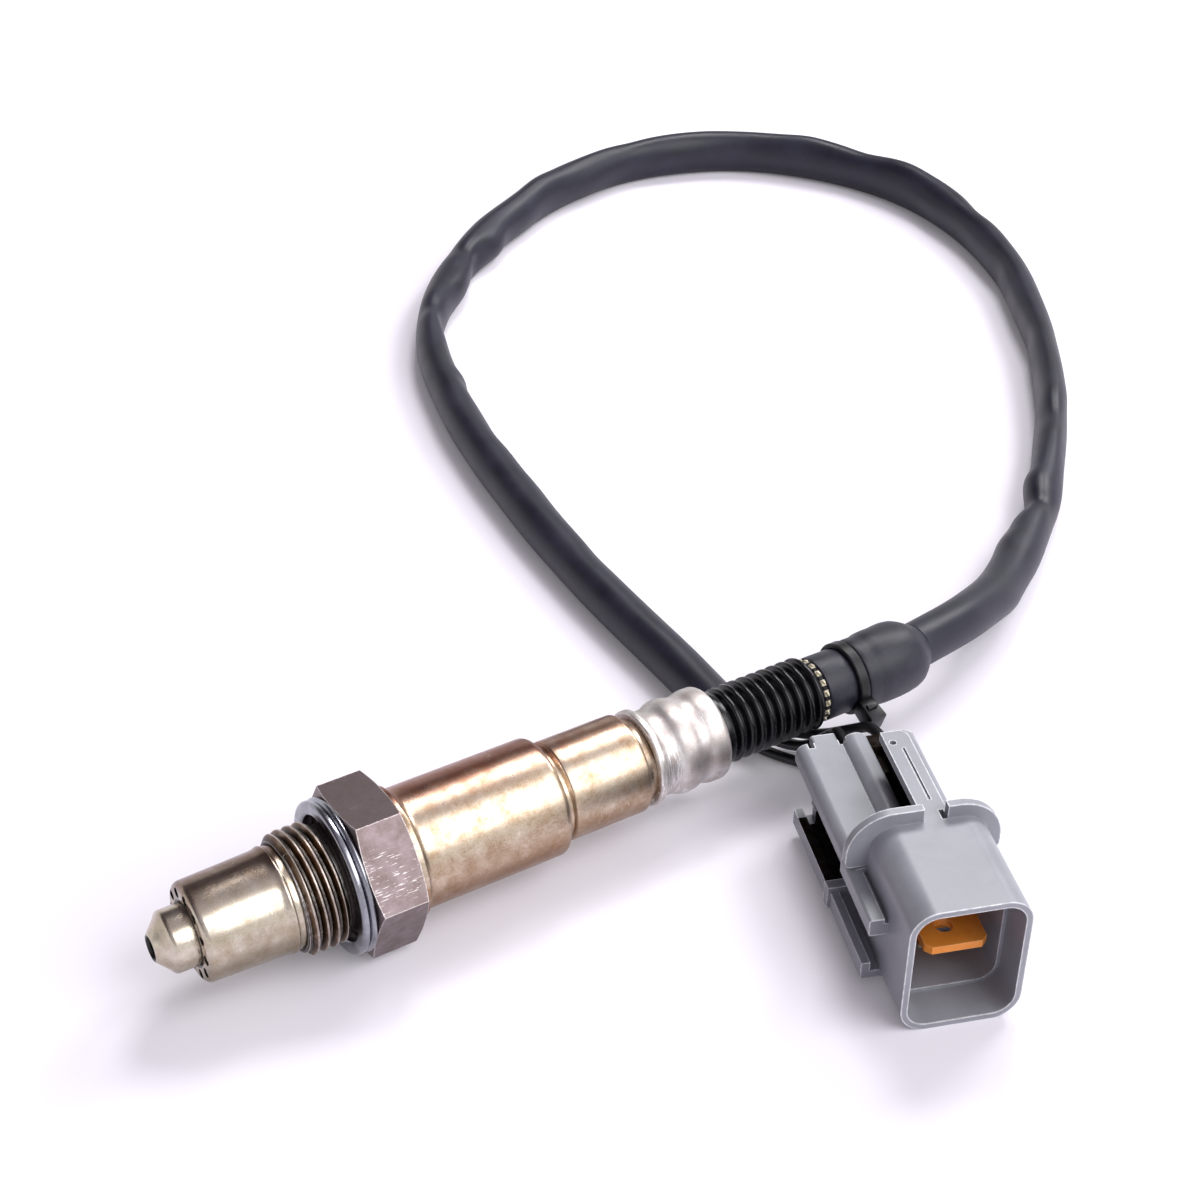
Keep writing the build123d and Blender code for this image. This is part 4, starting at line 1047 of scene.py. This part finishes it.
@dataclass
class CorrugatedBoot:
    """The rubber boot: a smooth collar behind the ferrule and nine narrow ribs."""

    start: float = 63.0
    end: float = 81.4
    crest: float = 5.85
    root: float = 4.75
    bore: float = 4.3
    collar: float = 1.9
    ribs: int = 9

    def make(self) -> None:
        """Build the boot and dress it."""
        first = self.start + self.collar
        pitch = (self.end - 0.25 - first) / self.ribs
        outline = [(self.start, self.bore), (self.start, 5.5), *arc(self.start + 0.45, 5.35, 0.42, 150, 90, 3),
                   (first - 0.55, 5.74), (first - 0.25, 5.55)]
        half = [(5.6, 0.0), (4.6, 0.12), (3.4, 0.55), (2.4, 0.86), (1.2, 0.98)]
        rib = [*[(-k, height) for k, height in half], (0.0, 1.0), *reversed(half)]
        for number in range(self.ribs):
            middle = first + pitch * (number + 0.5)
            outline += [(middle + pitch * k / 12, self.root + (self.crest - self.root) * height)
                        for k, height in rib]
        outline += [(self.end - 0.1, self.root + 0.1), (self.end, self.root), (self.end, self.bore)]
        piece = lathe("ribbed_boot", outline, steps=128)
        finish(piece, BLACK_RUBBER, "corrugated_boot", 60)


@dataclass
class Tail:
    """The braid's cuff, the neck and the boot of shrink tube, and the cable tie round the neck."""

    neck_radius: float = 5.15
    cuff_start: float = 81.4
    cuff_end: float = 82.35
    neck_end: float = 91.4
    knee: float = 96.0
    bend: float = 3.5
    yaw: float = 12.0
    drop: float = 5.0
    tie_start: float = 87.4
    tie_width: float = 1.8
    head_angle: float = 199.0
    strand_stray: float = 0.07
    mouth_radius: float = 3.6
    least_turn: float = 1e-5

    def cuff(self) -> None:
        """Lay the braid's looped strands round its folded end."""
        core = lathe("braid_core", [(63.2, 3.8), (82.3, 3.8), (82.3, 4.7), (82.2, 4.84), (81.52, 4.84),
                                    (81.42, 4.7), (81.42, 4.25), (63.2, 4.25)], steps=96)
        clear_selection()
        bpy.ops.mesh.primitive_uv_sphere_add(segments=10, ring_count=6, radius=0.3 * MM)
        strand = bpy.context.object
        strand.scale = (0.7, 1.6, 0.9)
        strand.rotation_euler = (0, 0, math.radians(24))
        settle(strand)
        strand.location = ((self.cuff_start + self.cuff_end) / 2 * MM, 0, (self.neck_radius - 0.24) * MM)
        settle(strand)
        strands = copies_round(strand, BRAID.strands, self.strand_stray)
        finish(join([core, *strands], "braid_cuff"), BRAID, "glass_braid_sleeve", 50)

    def neck(self) -> None:
        """Turn the neck, drawn in a little under the tie."""
        r = self.neck_radius
        middle = self.tie_start + self.tie_width / 2
        piece = lathe("shrink_neck_tube", [
            (82.3, r - 0.8), (82.3, r - 0.15), *arc(82.5, r - 0.18, 0.18, 160, 90, 3), (83.5, r + 0.02),
            (84.8, r), (middle - 1.5, r - 0.02), (middle - 1.1, r - 0.12), (middle + 1.1, r - 0.12),
            (middle + 1.5, r), (90.0, r), (self.neck_end, r), (self.neck_end, r - 0.8)], steps=96)
        finish(piece, SHRINK, "shrink_neck", 50)

    def stations(self) -> list[tuple[Vector, Vector, float]]:
        """Middle, direction and radius of the boot's rings from its mouth to its cable end."""
        a, d = math.radians(self.yaw), math.radians(self.drop)
        leave = Vector((math.cos(a) * math.cos(d), math.sin(a) * math.cos(d), -math.sin(d)))
        along = Vector((1, 0, 0))
        rings = [(-6.65, 5.3), (-6.62, 5.5), (-6.4, 5.62), (-5.6, 5.66), (-4.6, 5.63), (-3.9, 5.7),
                 (-3.3, 5.86), (-2.4, 5.93), (-1.2, 5.95), (0.0, 5.95), (1.4, 5.97), (2.8, 5.9), (3.9, 5.68),
                 (4.7, 5.3), (5.4, 4.9), (6.0, 4.5), (6.5, 4.2), (6.95, 4.0), (7.0, 3.85)]
        found = []
        for travel, radius in rings:
            heading = along.lerp(leave, smooth_step(travel, -self.bend, self.bend)).normalized()
            pull = max(0.0, 1 - abs(travel) / self.bend) ** 2 * 0.25
            middle = self.knee * along + travel * (along if travel < 0 else leave) + pull * (leave - along)
            found.append((middle, heading, radius))
        return found

    def boot(self) -> None:
        """Skin the boot ring by ring along its knee."""
        clear_selection()
        last_middle, last_heading, _ = self.stations()[0]
        last_radius = self.mouth_radius
        bpy.ops.mesh.primitive_circle_add(vertices=96, radius=last_radius * MM, location=last_middle * MM,
                                          rotation=(0, math.pi / 2, 0))
        piece = bpy.context.object
        piece.name = "shrink_boot_moulding"
        settle(piece)
        with editing(piece):
            for middle, heading, radius in self.stations():
                bpy.ops.mesh.extrude_edges_move(TRANSFORM_OT_translate={"value": (middle - last_middle) * MM})
                turn = last_heading.rotation_difference(heading)
                if turn.angle > self.least_turn:
                    bpy.ops.transform.rotate(
                        value=-turn.angle, orient_axis="Z", orient_matrix=self.frame_of(turn.axis),
                        orient_type="GLOBAL", center_override=middle * MM)
                grow = radius / last_radius
                bpy.ops.transform.resize(value=(grow, grow, grow), center_override=middle * MM)
                last_middle, last_heading, last_radius = middle, heading, radius
            bpy.ops.mesh.select_all(action="SELECT")
            bpy.ops.mesh.normals_make_consistent(inside=False)
        finish(piece, SHRINK, "shrink_boot", 60)

    @staticmethod
    def frame_of(axis: Vector) -> tuple[tuple[float, ...], ...]:
        """Rows of a matrix whose third axis is the given one.

        Args:
            axis: The wanted third axis.

        Returns:
            The matrix's rows.
        """
        first = axis.orthogonal().normalized()
        second = axis.cross(first).normalized()
        return tuple(tuple(row) for row in Matrix((first, second, axis.normalized())))

    def tie(self) -> None:
        """Turn the strap, and fit the head and the cut tail."""
        r, x, width = self.neck_radius + 0.03, self.tie_start, self.tie_width
        band = lathe("strap", [
            (x, r), (x, r + 0.45), *arc(x + 0.25, r + 0.42, 0.22, 160, 90, 3), (x + 0.6, r + 0.62),
            (x + width - 0.6, r + 0.62), *arc(x + width - 0.25, r + 0.42, 0.22, 90, 20, 3),
            (x + width, r + 0.45), (x + width, r)], steps=120)
        middle = x + width / 2
        head = block(Vector((middle, r + 2.2, 0)) * MM, (3.0, 3.9, 3.5))
        pick_faces(head, lambda face: face.normal.y < -0.9)
        bpy.ops.transform.resize(value=(0.86, 1, 0.92), center_override=Vector((middle, r + 0.25, 0)) * MM)
        break_edges(head, 0.28)
        tail = block(Vector((middle, r + 1.9, -1.85)) * MM, (width, 0.9, 0.5))
        break_edges(tail, 0.12)
        lug = join([head, tail], "lug")
        lug.rotation_euler = (math.radians(self.head_angle), 0, 0)
        settle(lug)
        finish(join([band, lug], "tie_strap"), TIE_NYLON, "cable_tie", 40)

    def make(self) -> None:
        """Build the tail's pieces and dress them."""
        self.cuff()
        self.neck()
        self.boot()
        self.tie()


# ---- the connector -----------------------------------------------------------------------------


@dataclass
class Connector:
    """The moulded shell and its front lock."""

    edge_round: float = 0.28
    lock_edge_round: float = 0.18
    origin: Point = (66.1, -57.9, -11.72)
    mouthward: Point = (-0.3223, -0.9466, 0.0)
    across: Point = (0.9466, -0.3223, 0.0)
    slot_end: tuple[Point, Point] = ((-41.8, 0.1, 13.1), (-37.4, 1.7, 16.6))
    # Boxes, in the connector's own frame, whose faces get painted shade.
    rail_channel: tuple[Point, Point] = ((-39.5, -11.0, 3.0), (-25.2, -7.5, 11.3))
    guide_slot: tuple[Point, Point] = ((-42.0, 0.0, 10.0), (-18.6, 1.8, 20.3))

    def placed(self, place: Sequence[float]) -> Vector:
        """A point moved from the connector's own frame to the scene, in metres.

        Args:
            place: Distances in mm towards the mouth, across and up.

        Returns:
            The point.
        """
        along, side, up = place
        return (Vector(self.origin) + along * Vector(self.mouthward) + side * Vector(self.across)
                + Vector((0, 0, up))) * MM

    def recess(self, middle: Vector, normal: Vector) -> bool:
        """Whether a face lies in the rail's channel or in the slot beside the guide.

        Args:
            middle: The face's middle in mm.
            normal: Its normal.

        Returns:
            True where shade is painted.
        """
        offset = middle - Vector(self.origin)
        place = (offset.dot(Vector(self.mouthward)), offset.dot(Vector(self.across)), offset.z)
        return any(all(low <= part <= high for low, part, high in zip(lows, place, highs))
                   for lows, highs in (self.rail_channel, self.guide_slot))

    def run_out(self) -> Piece:
        """Make the cutter that runs the slot out to the guide's rear end."""
        low, high = (Vector(corner) for corner in self.slot_end)
        yaw = math.atan2(self.mouthward[1], self.mouthward[0])
        return block(self.placed((low + high) / 2), high - low, yaw)

    def split(self, piece: Piece) -> None:
        """Part the side wall's face at both ends of the rail's channel, where the painted shade stops.

        Args:
            piece: The shell.
        """
        for along in (self.rail_channel[0][0], self.rail_channel[1][0]):
            with editing(piece):
                bpy.ops.mesh.bisect(plane_co=self.placed((along, 0, 0)), plane_no=self.mouthward)

    def make(self) -> None:
        """Copy the two mouldings, break their edges as the mould does, paint shade into the rail's channel and
        the slot beside the guide, and dress them.
        """
        shell = merged_copy("connector_shell", "moulded_shell")
        trim(shell, self.run_out(), Cut.TAKE_AWAY)
        self.split(shell)
        break_edges(shell, self.edge_round)
        mark_painted_shade(shell, self.recess)
        finish(shell, GREY_NYLON, "connector_shell", 40, flat=True)
        lock = merged_copy("terminal_lock", "front_lock")
        break_edges(lock, self.lock_edge_round)
        finish(lock, ORANGE_NYLON, "terminal_lock", 40, flat=True)




# ---- the harness -------------------------------------------------------------------------------


@dataclass
class Harness:
    """The vinyl sleeving and its four wires."""

    diameter: float = 7.6
    sides: int = 40
    wire_diameter: float = 1.7
    route: list[Point] = field(default_factory=lambda: [
        (102.821, 1.45, -0.61), (112.565, 3.521, -1.482), (121.8, 7.4, -3.7), (131.8, 13.2, -6.5),
        (146.0, 23.0, -7.921), (163.0, 37.5, -7.921), (182.0, 59.0, -7.921), (199.0, 84.5, -7.921),
        (211.0, 111.0, -7.921), (215.0, 139.0, -7.921), (208.0, 163.0, -7.921), (190.0, 183.0, -7.921),
        (162.0, 190.5, -7.921), (132.0, 181.0, -7.921), (106.0, 163.0, -7.921), (88.5, 142.0, -7.921),
        (80.5, 116.0, -7.921), (76.0, 88.0, -7.921), (73.8, 62.0, -7.921), (73.2, 42.0, -7.921),
        (73.6, 24.0, -7.921), (73.2, 12.2, -7.921)])
    wires: list[list[Point]] = field(default_factory=lambda: [
        [(71.901, 12.244, -9.221), (71.742, 7.547, -9.221), (75.75, 1.1, -10.771), (80.15, -5.5, -10.571),
         (80.065, -10.054, -6.071), (78.357, -15.071, -6.071)],
        [(74.499, 12.156, -9.221), (74.35, 7.758, -9.221), (79.05, 1.4, -10.421), (84.55, -5.05, -9.921),
         (85.62, -11.734, -6.071), (83.848, -16.94, -6.071)],
        [(71.901, 12.244, -6.621), (71.758, 8.046, -6.621), (74.6, 3.05, -7.621), (78.4, -3.3, -7.921),
         (81.5, -6.6, -3.621), (80.033, -10.148, -0.071), (78.357, -15.071, -0.071)],
        [(74.499, 12.156, -6.621), (74.357, 7.958, -6.621), (77.5, 3.2, -7.921), (82.15, -1.95, -7.671),
         (85.2, -7.05, -4.021), (85.62, -11.734, -0.071), (83.848, -16.94, -0.071)]])
    wire_lengths: tuple[float, ...] = (31.2, 33.5, 33.2, 34.9)
    length: float = 488.1
    sections: list[Point] = field(default_factory=lambda: [
        (0, 3.8, 3.8), (36, 3.9, 3.7), (58, 3.5, 3.9), (75, 3.05, 4.4), (100, 2.95, 4.6), (150, 3.1, 4.6),
        (185, 3.3, 4.9), (250, 3.45, 4.8), (300, 3.4, 4.4), (330, 3.7, 3.9), (352, 3.0, 4.2), (375, 3.4, 4.0),
        (405, 3.8, 3.8), (500, 3.8, 3.8)])
    folds: list[tuple[float, float, float, float]] = field(default_factory=lambda: [
        (27, -20, 0.5, 5), (44, 150, 0.5, 4), (58, 170, -1.5, 3.5), (59, 100, -0.9, 2.5), (66, 140, 0.6, 3),
        (88, 110, -0.6, 4), (96, 60, 0.4, 5), (120, 180, -0.5, 4), (134, 170, 0.4, 5), (150, 180, -0.4, 4),
        (172, 60, -0.5, 5), (181, 180, 0.5, 6), (196, 80, 0.5, 6), (208, 80, -0.5, 5), (222, 90, 0.4, 5),
        (238, 200, -0.5, 6), (262, 180, -0.6, 5), (264, 90, -0.4, 5), (277, 200, 0.5, 6), (292, 80, 0.4, 5),
        (300, 200, 0.5, 5), (315, 190, 1.0, 4), (325, 180, -1.3, 3.5), (327, 100, -0.5, 3), (337, 180, 0.8, 5),
        (353, 90, -0.7, 3), (355, 180, -0.9, 5), (378, 180, 0.6, 3), (402, 170, -0.4, 5), (421, 180, 0.3, 5),
        (446, 170, -0.3, 5)])

    @staticmethod
    def spline(name: str, points: Sequence[Point], bevel: float = 0.0) -> Piece:
        """Lay a smooth open curve along a route.

        Args:
            name: The curve's name.
            points: The route in mm.
            bevel: Radius of the round section in mm, or none.

        Returns:
            The curve.
        """
        data = bpy.data.curves.new(name, "CURVE")
        data.dimensions = "3D"
        line = data.splines.new("NURBS")
        line.points.add(len(points) - 1)
        for target, point in zip(line.points, points):
            target.co = (point[0] * MM, point[1] * MM, point[2] * MM, 1.0)
        line.order_u = 3
        line.use_endpoint_u = True
        line.resolution_u = 12 if bevel else 28
        data.bevel_depth = bevel * MM
        data.bevel_resolution = 6
        data.use_fill_caps = bevel > 0
        piece = bpy.data.objects.new(name, data)
        bpy.context.scene.collection.objects.link(piece)
        return piece

    def centreline(self) -> list[Vector]:
        """Read the points along the sleeving's spline, in metres."""
        curve = self.spline("centreline", self.route)
        mesh = bpy.data.meshes.new_from_object(curve)
        points = [vertex.co.copy() for vertex in mesh.vertices]
        bpy.data.objects.remove(curve)
        bpy.data.meshes.remove(mesh)
        return points

    def sleeving(self) -> Piece:
        """Skin the sleeving round its centreline, pressed oval and creased where it turns."""
        line, sides = self.centreline(), self.sides
        places, faces = [], []
        travelled = 0.0
        for index, middle in enumerate(line):
            before, after = line[max(index - 1, 0)], line[min(index + 1, len(line) - 1)]
            travelled += (middle - before).length / MM
            ahead = (after - before).normalized()
            side = ahead.cross(Vector((0, 0, 1))).normalized()
            up = side.cross(ahead).normalized()
            wide, tall = self.section(travelled)
            for step in range(sides):
                angle = TURN * step / sides
                fold = self.fold(travelled, angle)
                lift = tall - self.diameter / 2
                reach = (side * (math.cos(angle) * (wide + fold))
                         + up * (math.sin(angle) * (tall + fold) + lift))
                places.append(middle + reach * MM)
        for ring in range(len(line) - 1):
            for step in range(sides):
                near, far = ring * sides, (ring + 1) * sides
                turn = (step + 1) % sides
                faces.append((near + step, near + turn, far + turn, far + step))
        faces.append(tuple(range(sides)))
        faces.append(tuple(reversed(range((len(line) - 1) * sides, len(line) * sides))))
        mesh = bpy.data.meshes.new("vinyl_sleeving")
        mesh.from_pydata(places, [], faces)
        mesh.update()
        piece = bpy.data.objects.new("vinyl_sleeving", mesh)
        bpy.context.scene.collection.objects.link(piece)
        with editing(piece):
            bpy.ops.mesh.normals_make_consistent(inside=False)
        return piece

    def section(self, travelled: float) -> tuple[float, float]:
        """Half width and half height of the sleeving's section at a place along it.

        Args:
            travelled: Distance from the shrink boot in mm.

        Returns:
            The two sizes in mm.
        """
        for before, after in zip(self.sections, self.sections[1:]):
            if travelled <= after[0]:
                break
        share = smooth_step(travelled, before[0], after[0])
        return before[1] + (after[1] - before[1]) * share, before[2] + (after[2] - before[2]) * share

    def fold(self, travelled: float, angle: float) -> float:
        """How far the thin wall stands in or out where the bends have crumpled it.

        Args:
            travelled: Distance from the shrink boot in mm.
            angle: Angle round the section in radians.

        Returns:
            The wall's offset in mm.
        """
        round_it = Vector((math.cos(angle), math.sin(angle), 0))
        offset = 0.3 * noise.noise(Vector((travelled / 16, 5.0, 0)) + 0.6 * round_it)
        for place, side, depth, length in self.folds:
            near = math.exp(-((travelled + 1.5 * math.sin(angle) - place) / length) ** 2)
            offset += depth * near * max(0.0, math.cos(angle - math.radians(side))) ** 2
        below = max(0.0, -math.sin(angle)) ** 2
        return offset * (1 - below) * smooth_step(travelled, 8, 26)

    def make(self) -> None:
        piece = self.sleeving()
        line = [tuple(point) for point in self.centreline()]
        finish(piece, VINYL, "harness_sleeve", 60)
        for number, (points, length) in enumerate(zip(self.wires, self.wire_lengths), start=1):
            wire = self.spline(f"signal_wire_{number}", points, self.wire_diameter / 2)
            coat_with(wire, WIRE)
            declare(wire, f"tail_wire_{number}")


# ---- the studio --------------------------------------------------------------------------------


@dataclass
class Studio:
    """The pale floor, the soft lamps and the camera."""

    lens_mm: float = 65.98
    place_mm: Point = (-84.09, -209.74, 211.08)
    azimuth: float = -31.378
    elevation: float = 36.16
    roll: float = 0.401
    floor_colour: str = "#EFEBF4"
    fade: tuple[float, float] = (0.28, 0.6)
    bright_side: Point = (0.2, -0.75, 0.45)
    room: tuple[tuple[float, str], ...] = ((0.0, "#6C636B"), (0.3, "#BDB6C2"), (0.75, "#F0EDF5"))
    lamps: list[tuple[str, Point, tuple[float, float], float]] = field(default_factory=lambda: [
        ("front_softbox", (0.47, -0.72, 0.82), (1.0, 0.9), 10.5),
        ("key_softbox", (0.42, 0.40, 0.75), (0.3, 0.3), 3.8),
        ("side_softbox", (0.74, 0.20, 0.58), (0.26, 0.26), 3.0),
    ])

    def camera(self) -> None:
        """Set the camera."""
        a, e, r = (math.radians(v) for v in (self.azimuth, self.elevation, self.roll))
        back = Vector((math.sin(a) * math.cos(e), -math.cos(a) * math.cos(e), math.sin(e)))
        level = (-back).cross(Vector((0, 0, 1))).normalized()
        above = level.cross(-back)
        right = math.cos(r) * level + math.sin(r) * above
        up = -math.sin(r) * level + math.cos(r) * above
        data = bpy.data.cameras.new("camera")
        camera = bpy.data.objects.new("camera", data)
        bpy.context.scene.collection.objects.link(camera)
        turn = Matrix((right, up, back)).transposed().to_4x4()
        camera.matrix_world = Matrix.Translation(Vector(self.place_mm) * MM) @ turn
        data.lens = self.lens_mm
        data.sensor_width = 36
        data.clip_start = 0.01
        data.clip_end = 10
        bpy.context.scene.camera = camera

    @staticmethod
    def seen(nodes: Nodes) -> Socket:
        """Whether a ray shows the background itself, straight or in metal or glass.

        Args:
            nodes: The nodes that ask.

        Returns:
            One for such a ray.
        """
        seen = nodes.add("LightPath", {}, "Is Camera Ray")
        for ray in ("Is Glossy Ray", "Is Transmission Ray"):
            seen = nodes.add("Math", {"operation": "MAXIMUM", 0: seen, 1: nodes.add("LightPath", {}, ray)})
        return seen

    def floor(self) -> None:
        """Lay the floor, which fades to white away from the object where it shows as the background."""
        clear_selection()
        bpy.ops.mesh.primitive_plane_add(size=6, location=(0.1, 0.05, FLOOR * MM))
        floor = bpy.context.object
        floor.name = "floor"
        material = bpy.data.materials.new("pale_floor")
        material.use_nodes = True
        nodes = Nodes(material.node_tree)
        shader = nodes.put("Principled BSDF", {"Base Color": linear(self.floor_colour), "Roughness": 0.6})
        glow = nodes.add("Emission", {"Strength": 1.0})
        away = nodes.add("VectorMath", {"operation": "LENGTH", 0: nodes.add("TexCoord", {}, "Object")},
                         "Value")
        near, far = self.fade
        fade = nodes.add("MapRange", {"Value": away, "From Min": near, "From Max": far, "To Min": 0.1})
        share = nodes.add("Math", {"operation": "MULTIPLY", 0: self.seen(nodes), 1: fade})
        both = nodes.add("MixShader", {0: share, 1: shader.outputs["BSDF"], 2: glow})
        nodes.put("Material Output", {"Surface": both})
        floor.data.materials.append(material)

    def light(self) -> None:
        """Hang the lamps and set the world: pale in front, darker overhead and behind, as metal shows it."""
        for name, place, size, power in self.lamps:
            data = bpy.data.lights.new(name, "AREA")
            data.shape = "RECTANGLE"
            data.size, data.size_y = size
            data.energy = power
            lamp = bpy.data.objects.new(name, data)
            bpy.context.scene.collection.objects.link(lamp)
            lamp.location = place
            lamp.rotation_mode = "QUATERNION"
            lamp.rotation_quaternion = (Vector((0.06, 0.0, 0.0)) - Vector(place)).to_track_quat("-Z", "Y")
        world = bpy.data.worlds.new("studio")
        world.use_nodes = True
        bpy.context.scene.world = world
        nodes = Nodes(world.node_tree)
        way = nodes.add("TexCoord", {}, "Generated")
        facing = nodes.add("VectorMath", {"operation": "DOT_PRODUCT", 0: way, 1: self.bright_side}, "Value")
        room = nodes.add("ValToRGB", {"Fac": facing}, stops=self.room)
        height = nodes.add("SeparateXYZ", {"Vector": way}, "Z")
        backdrop = nodes.add("MapRange", {"Value": height, "From Min": 0.34, "From Max": 0.22})
        share = nodes.add("Math", {"operation": "MULTIPLY", 0: self.seen(nodes), 1: backdrop})
        sky = nodes.add("Mix", {"data_type": "RGBA", 0: share, 6: room, 7: linear("#FFFFFF")}, 2)
        level = nodes.add("MapRange", {"Value": share, "To Min": 0.8})
        nodes.put("Background", {"Color": sky, "Strength": level})


def main() -> None:
    """Build and dress every piece."""
    logging.basicConfig(level=logging.INFO, format="%(message)s")
    bpy.context.scene.view_settings.view_transform = "Standard"
    studio = Studio()
    studio.camera()
    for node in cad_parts:
        key = node if node in CAD_FINISHES else node.rsplit("_", 1)[0]
        coat_with(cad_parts[node], CAD_FINISHES[key])
        LOG.info("dressed %s", node)
    for assembly in (Connector(), Harness(), ProtectionTubes(), ThreadedHousing(), SealingRing(),
                     ProtectiveSleeve(), CrimpFerrule(), CorrugatedBoot(), Tail()):
        assembly.make()
    studio.floor()
    studio.light()


if __name__ == "__main__":
    main()
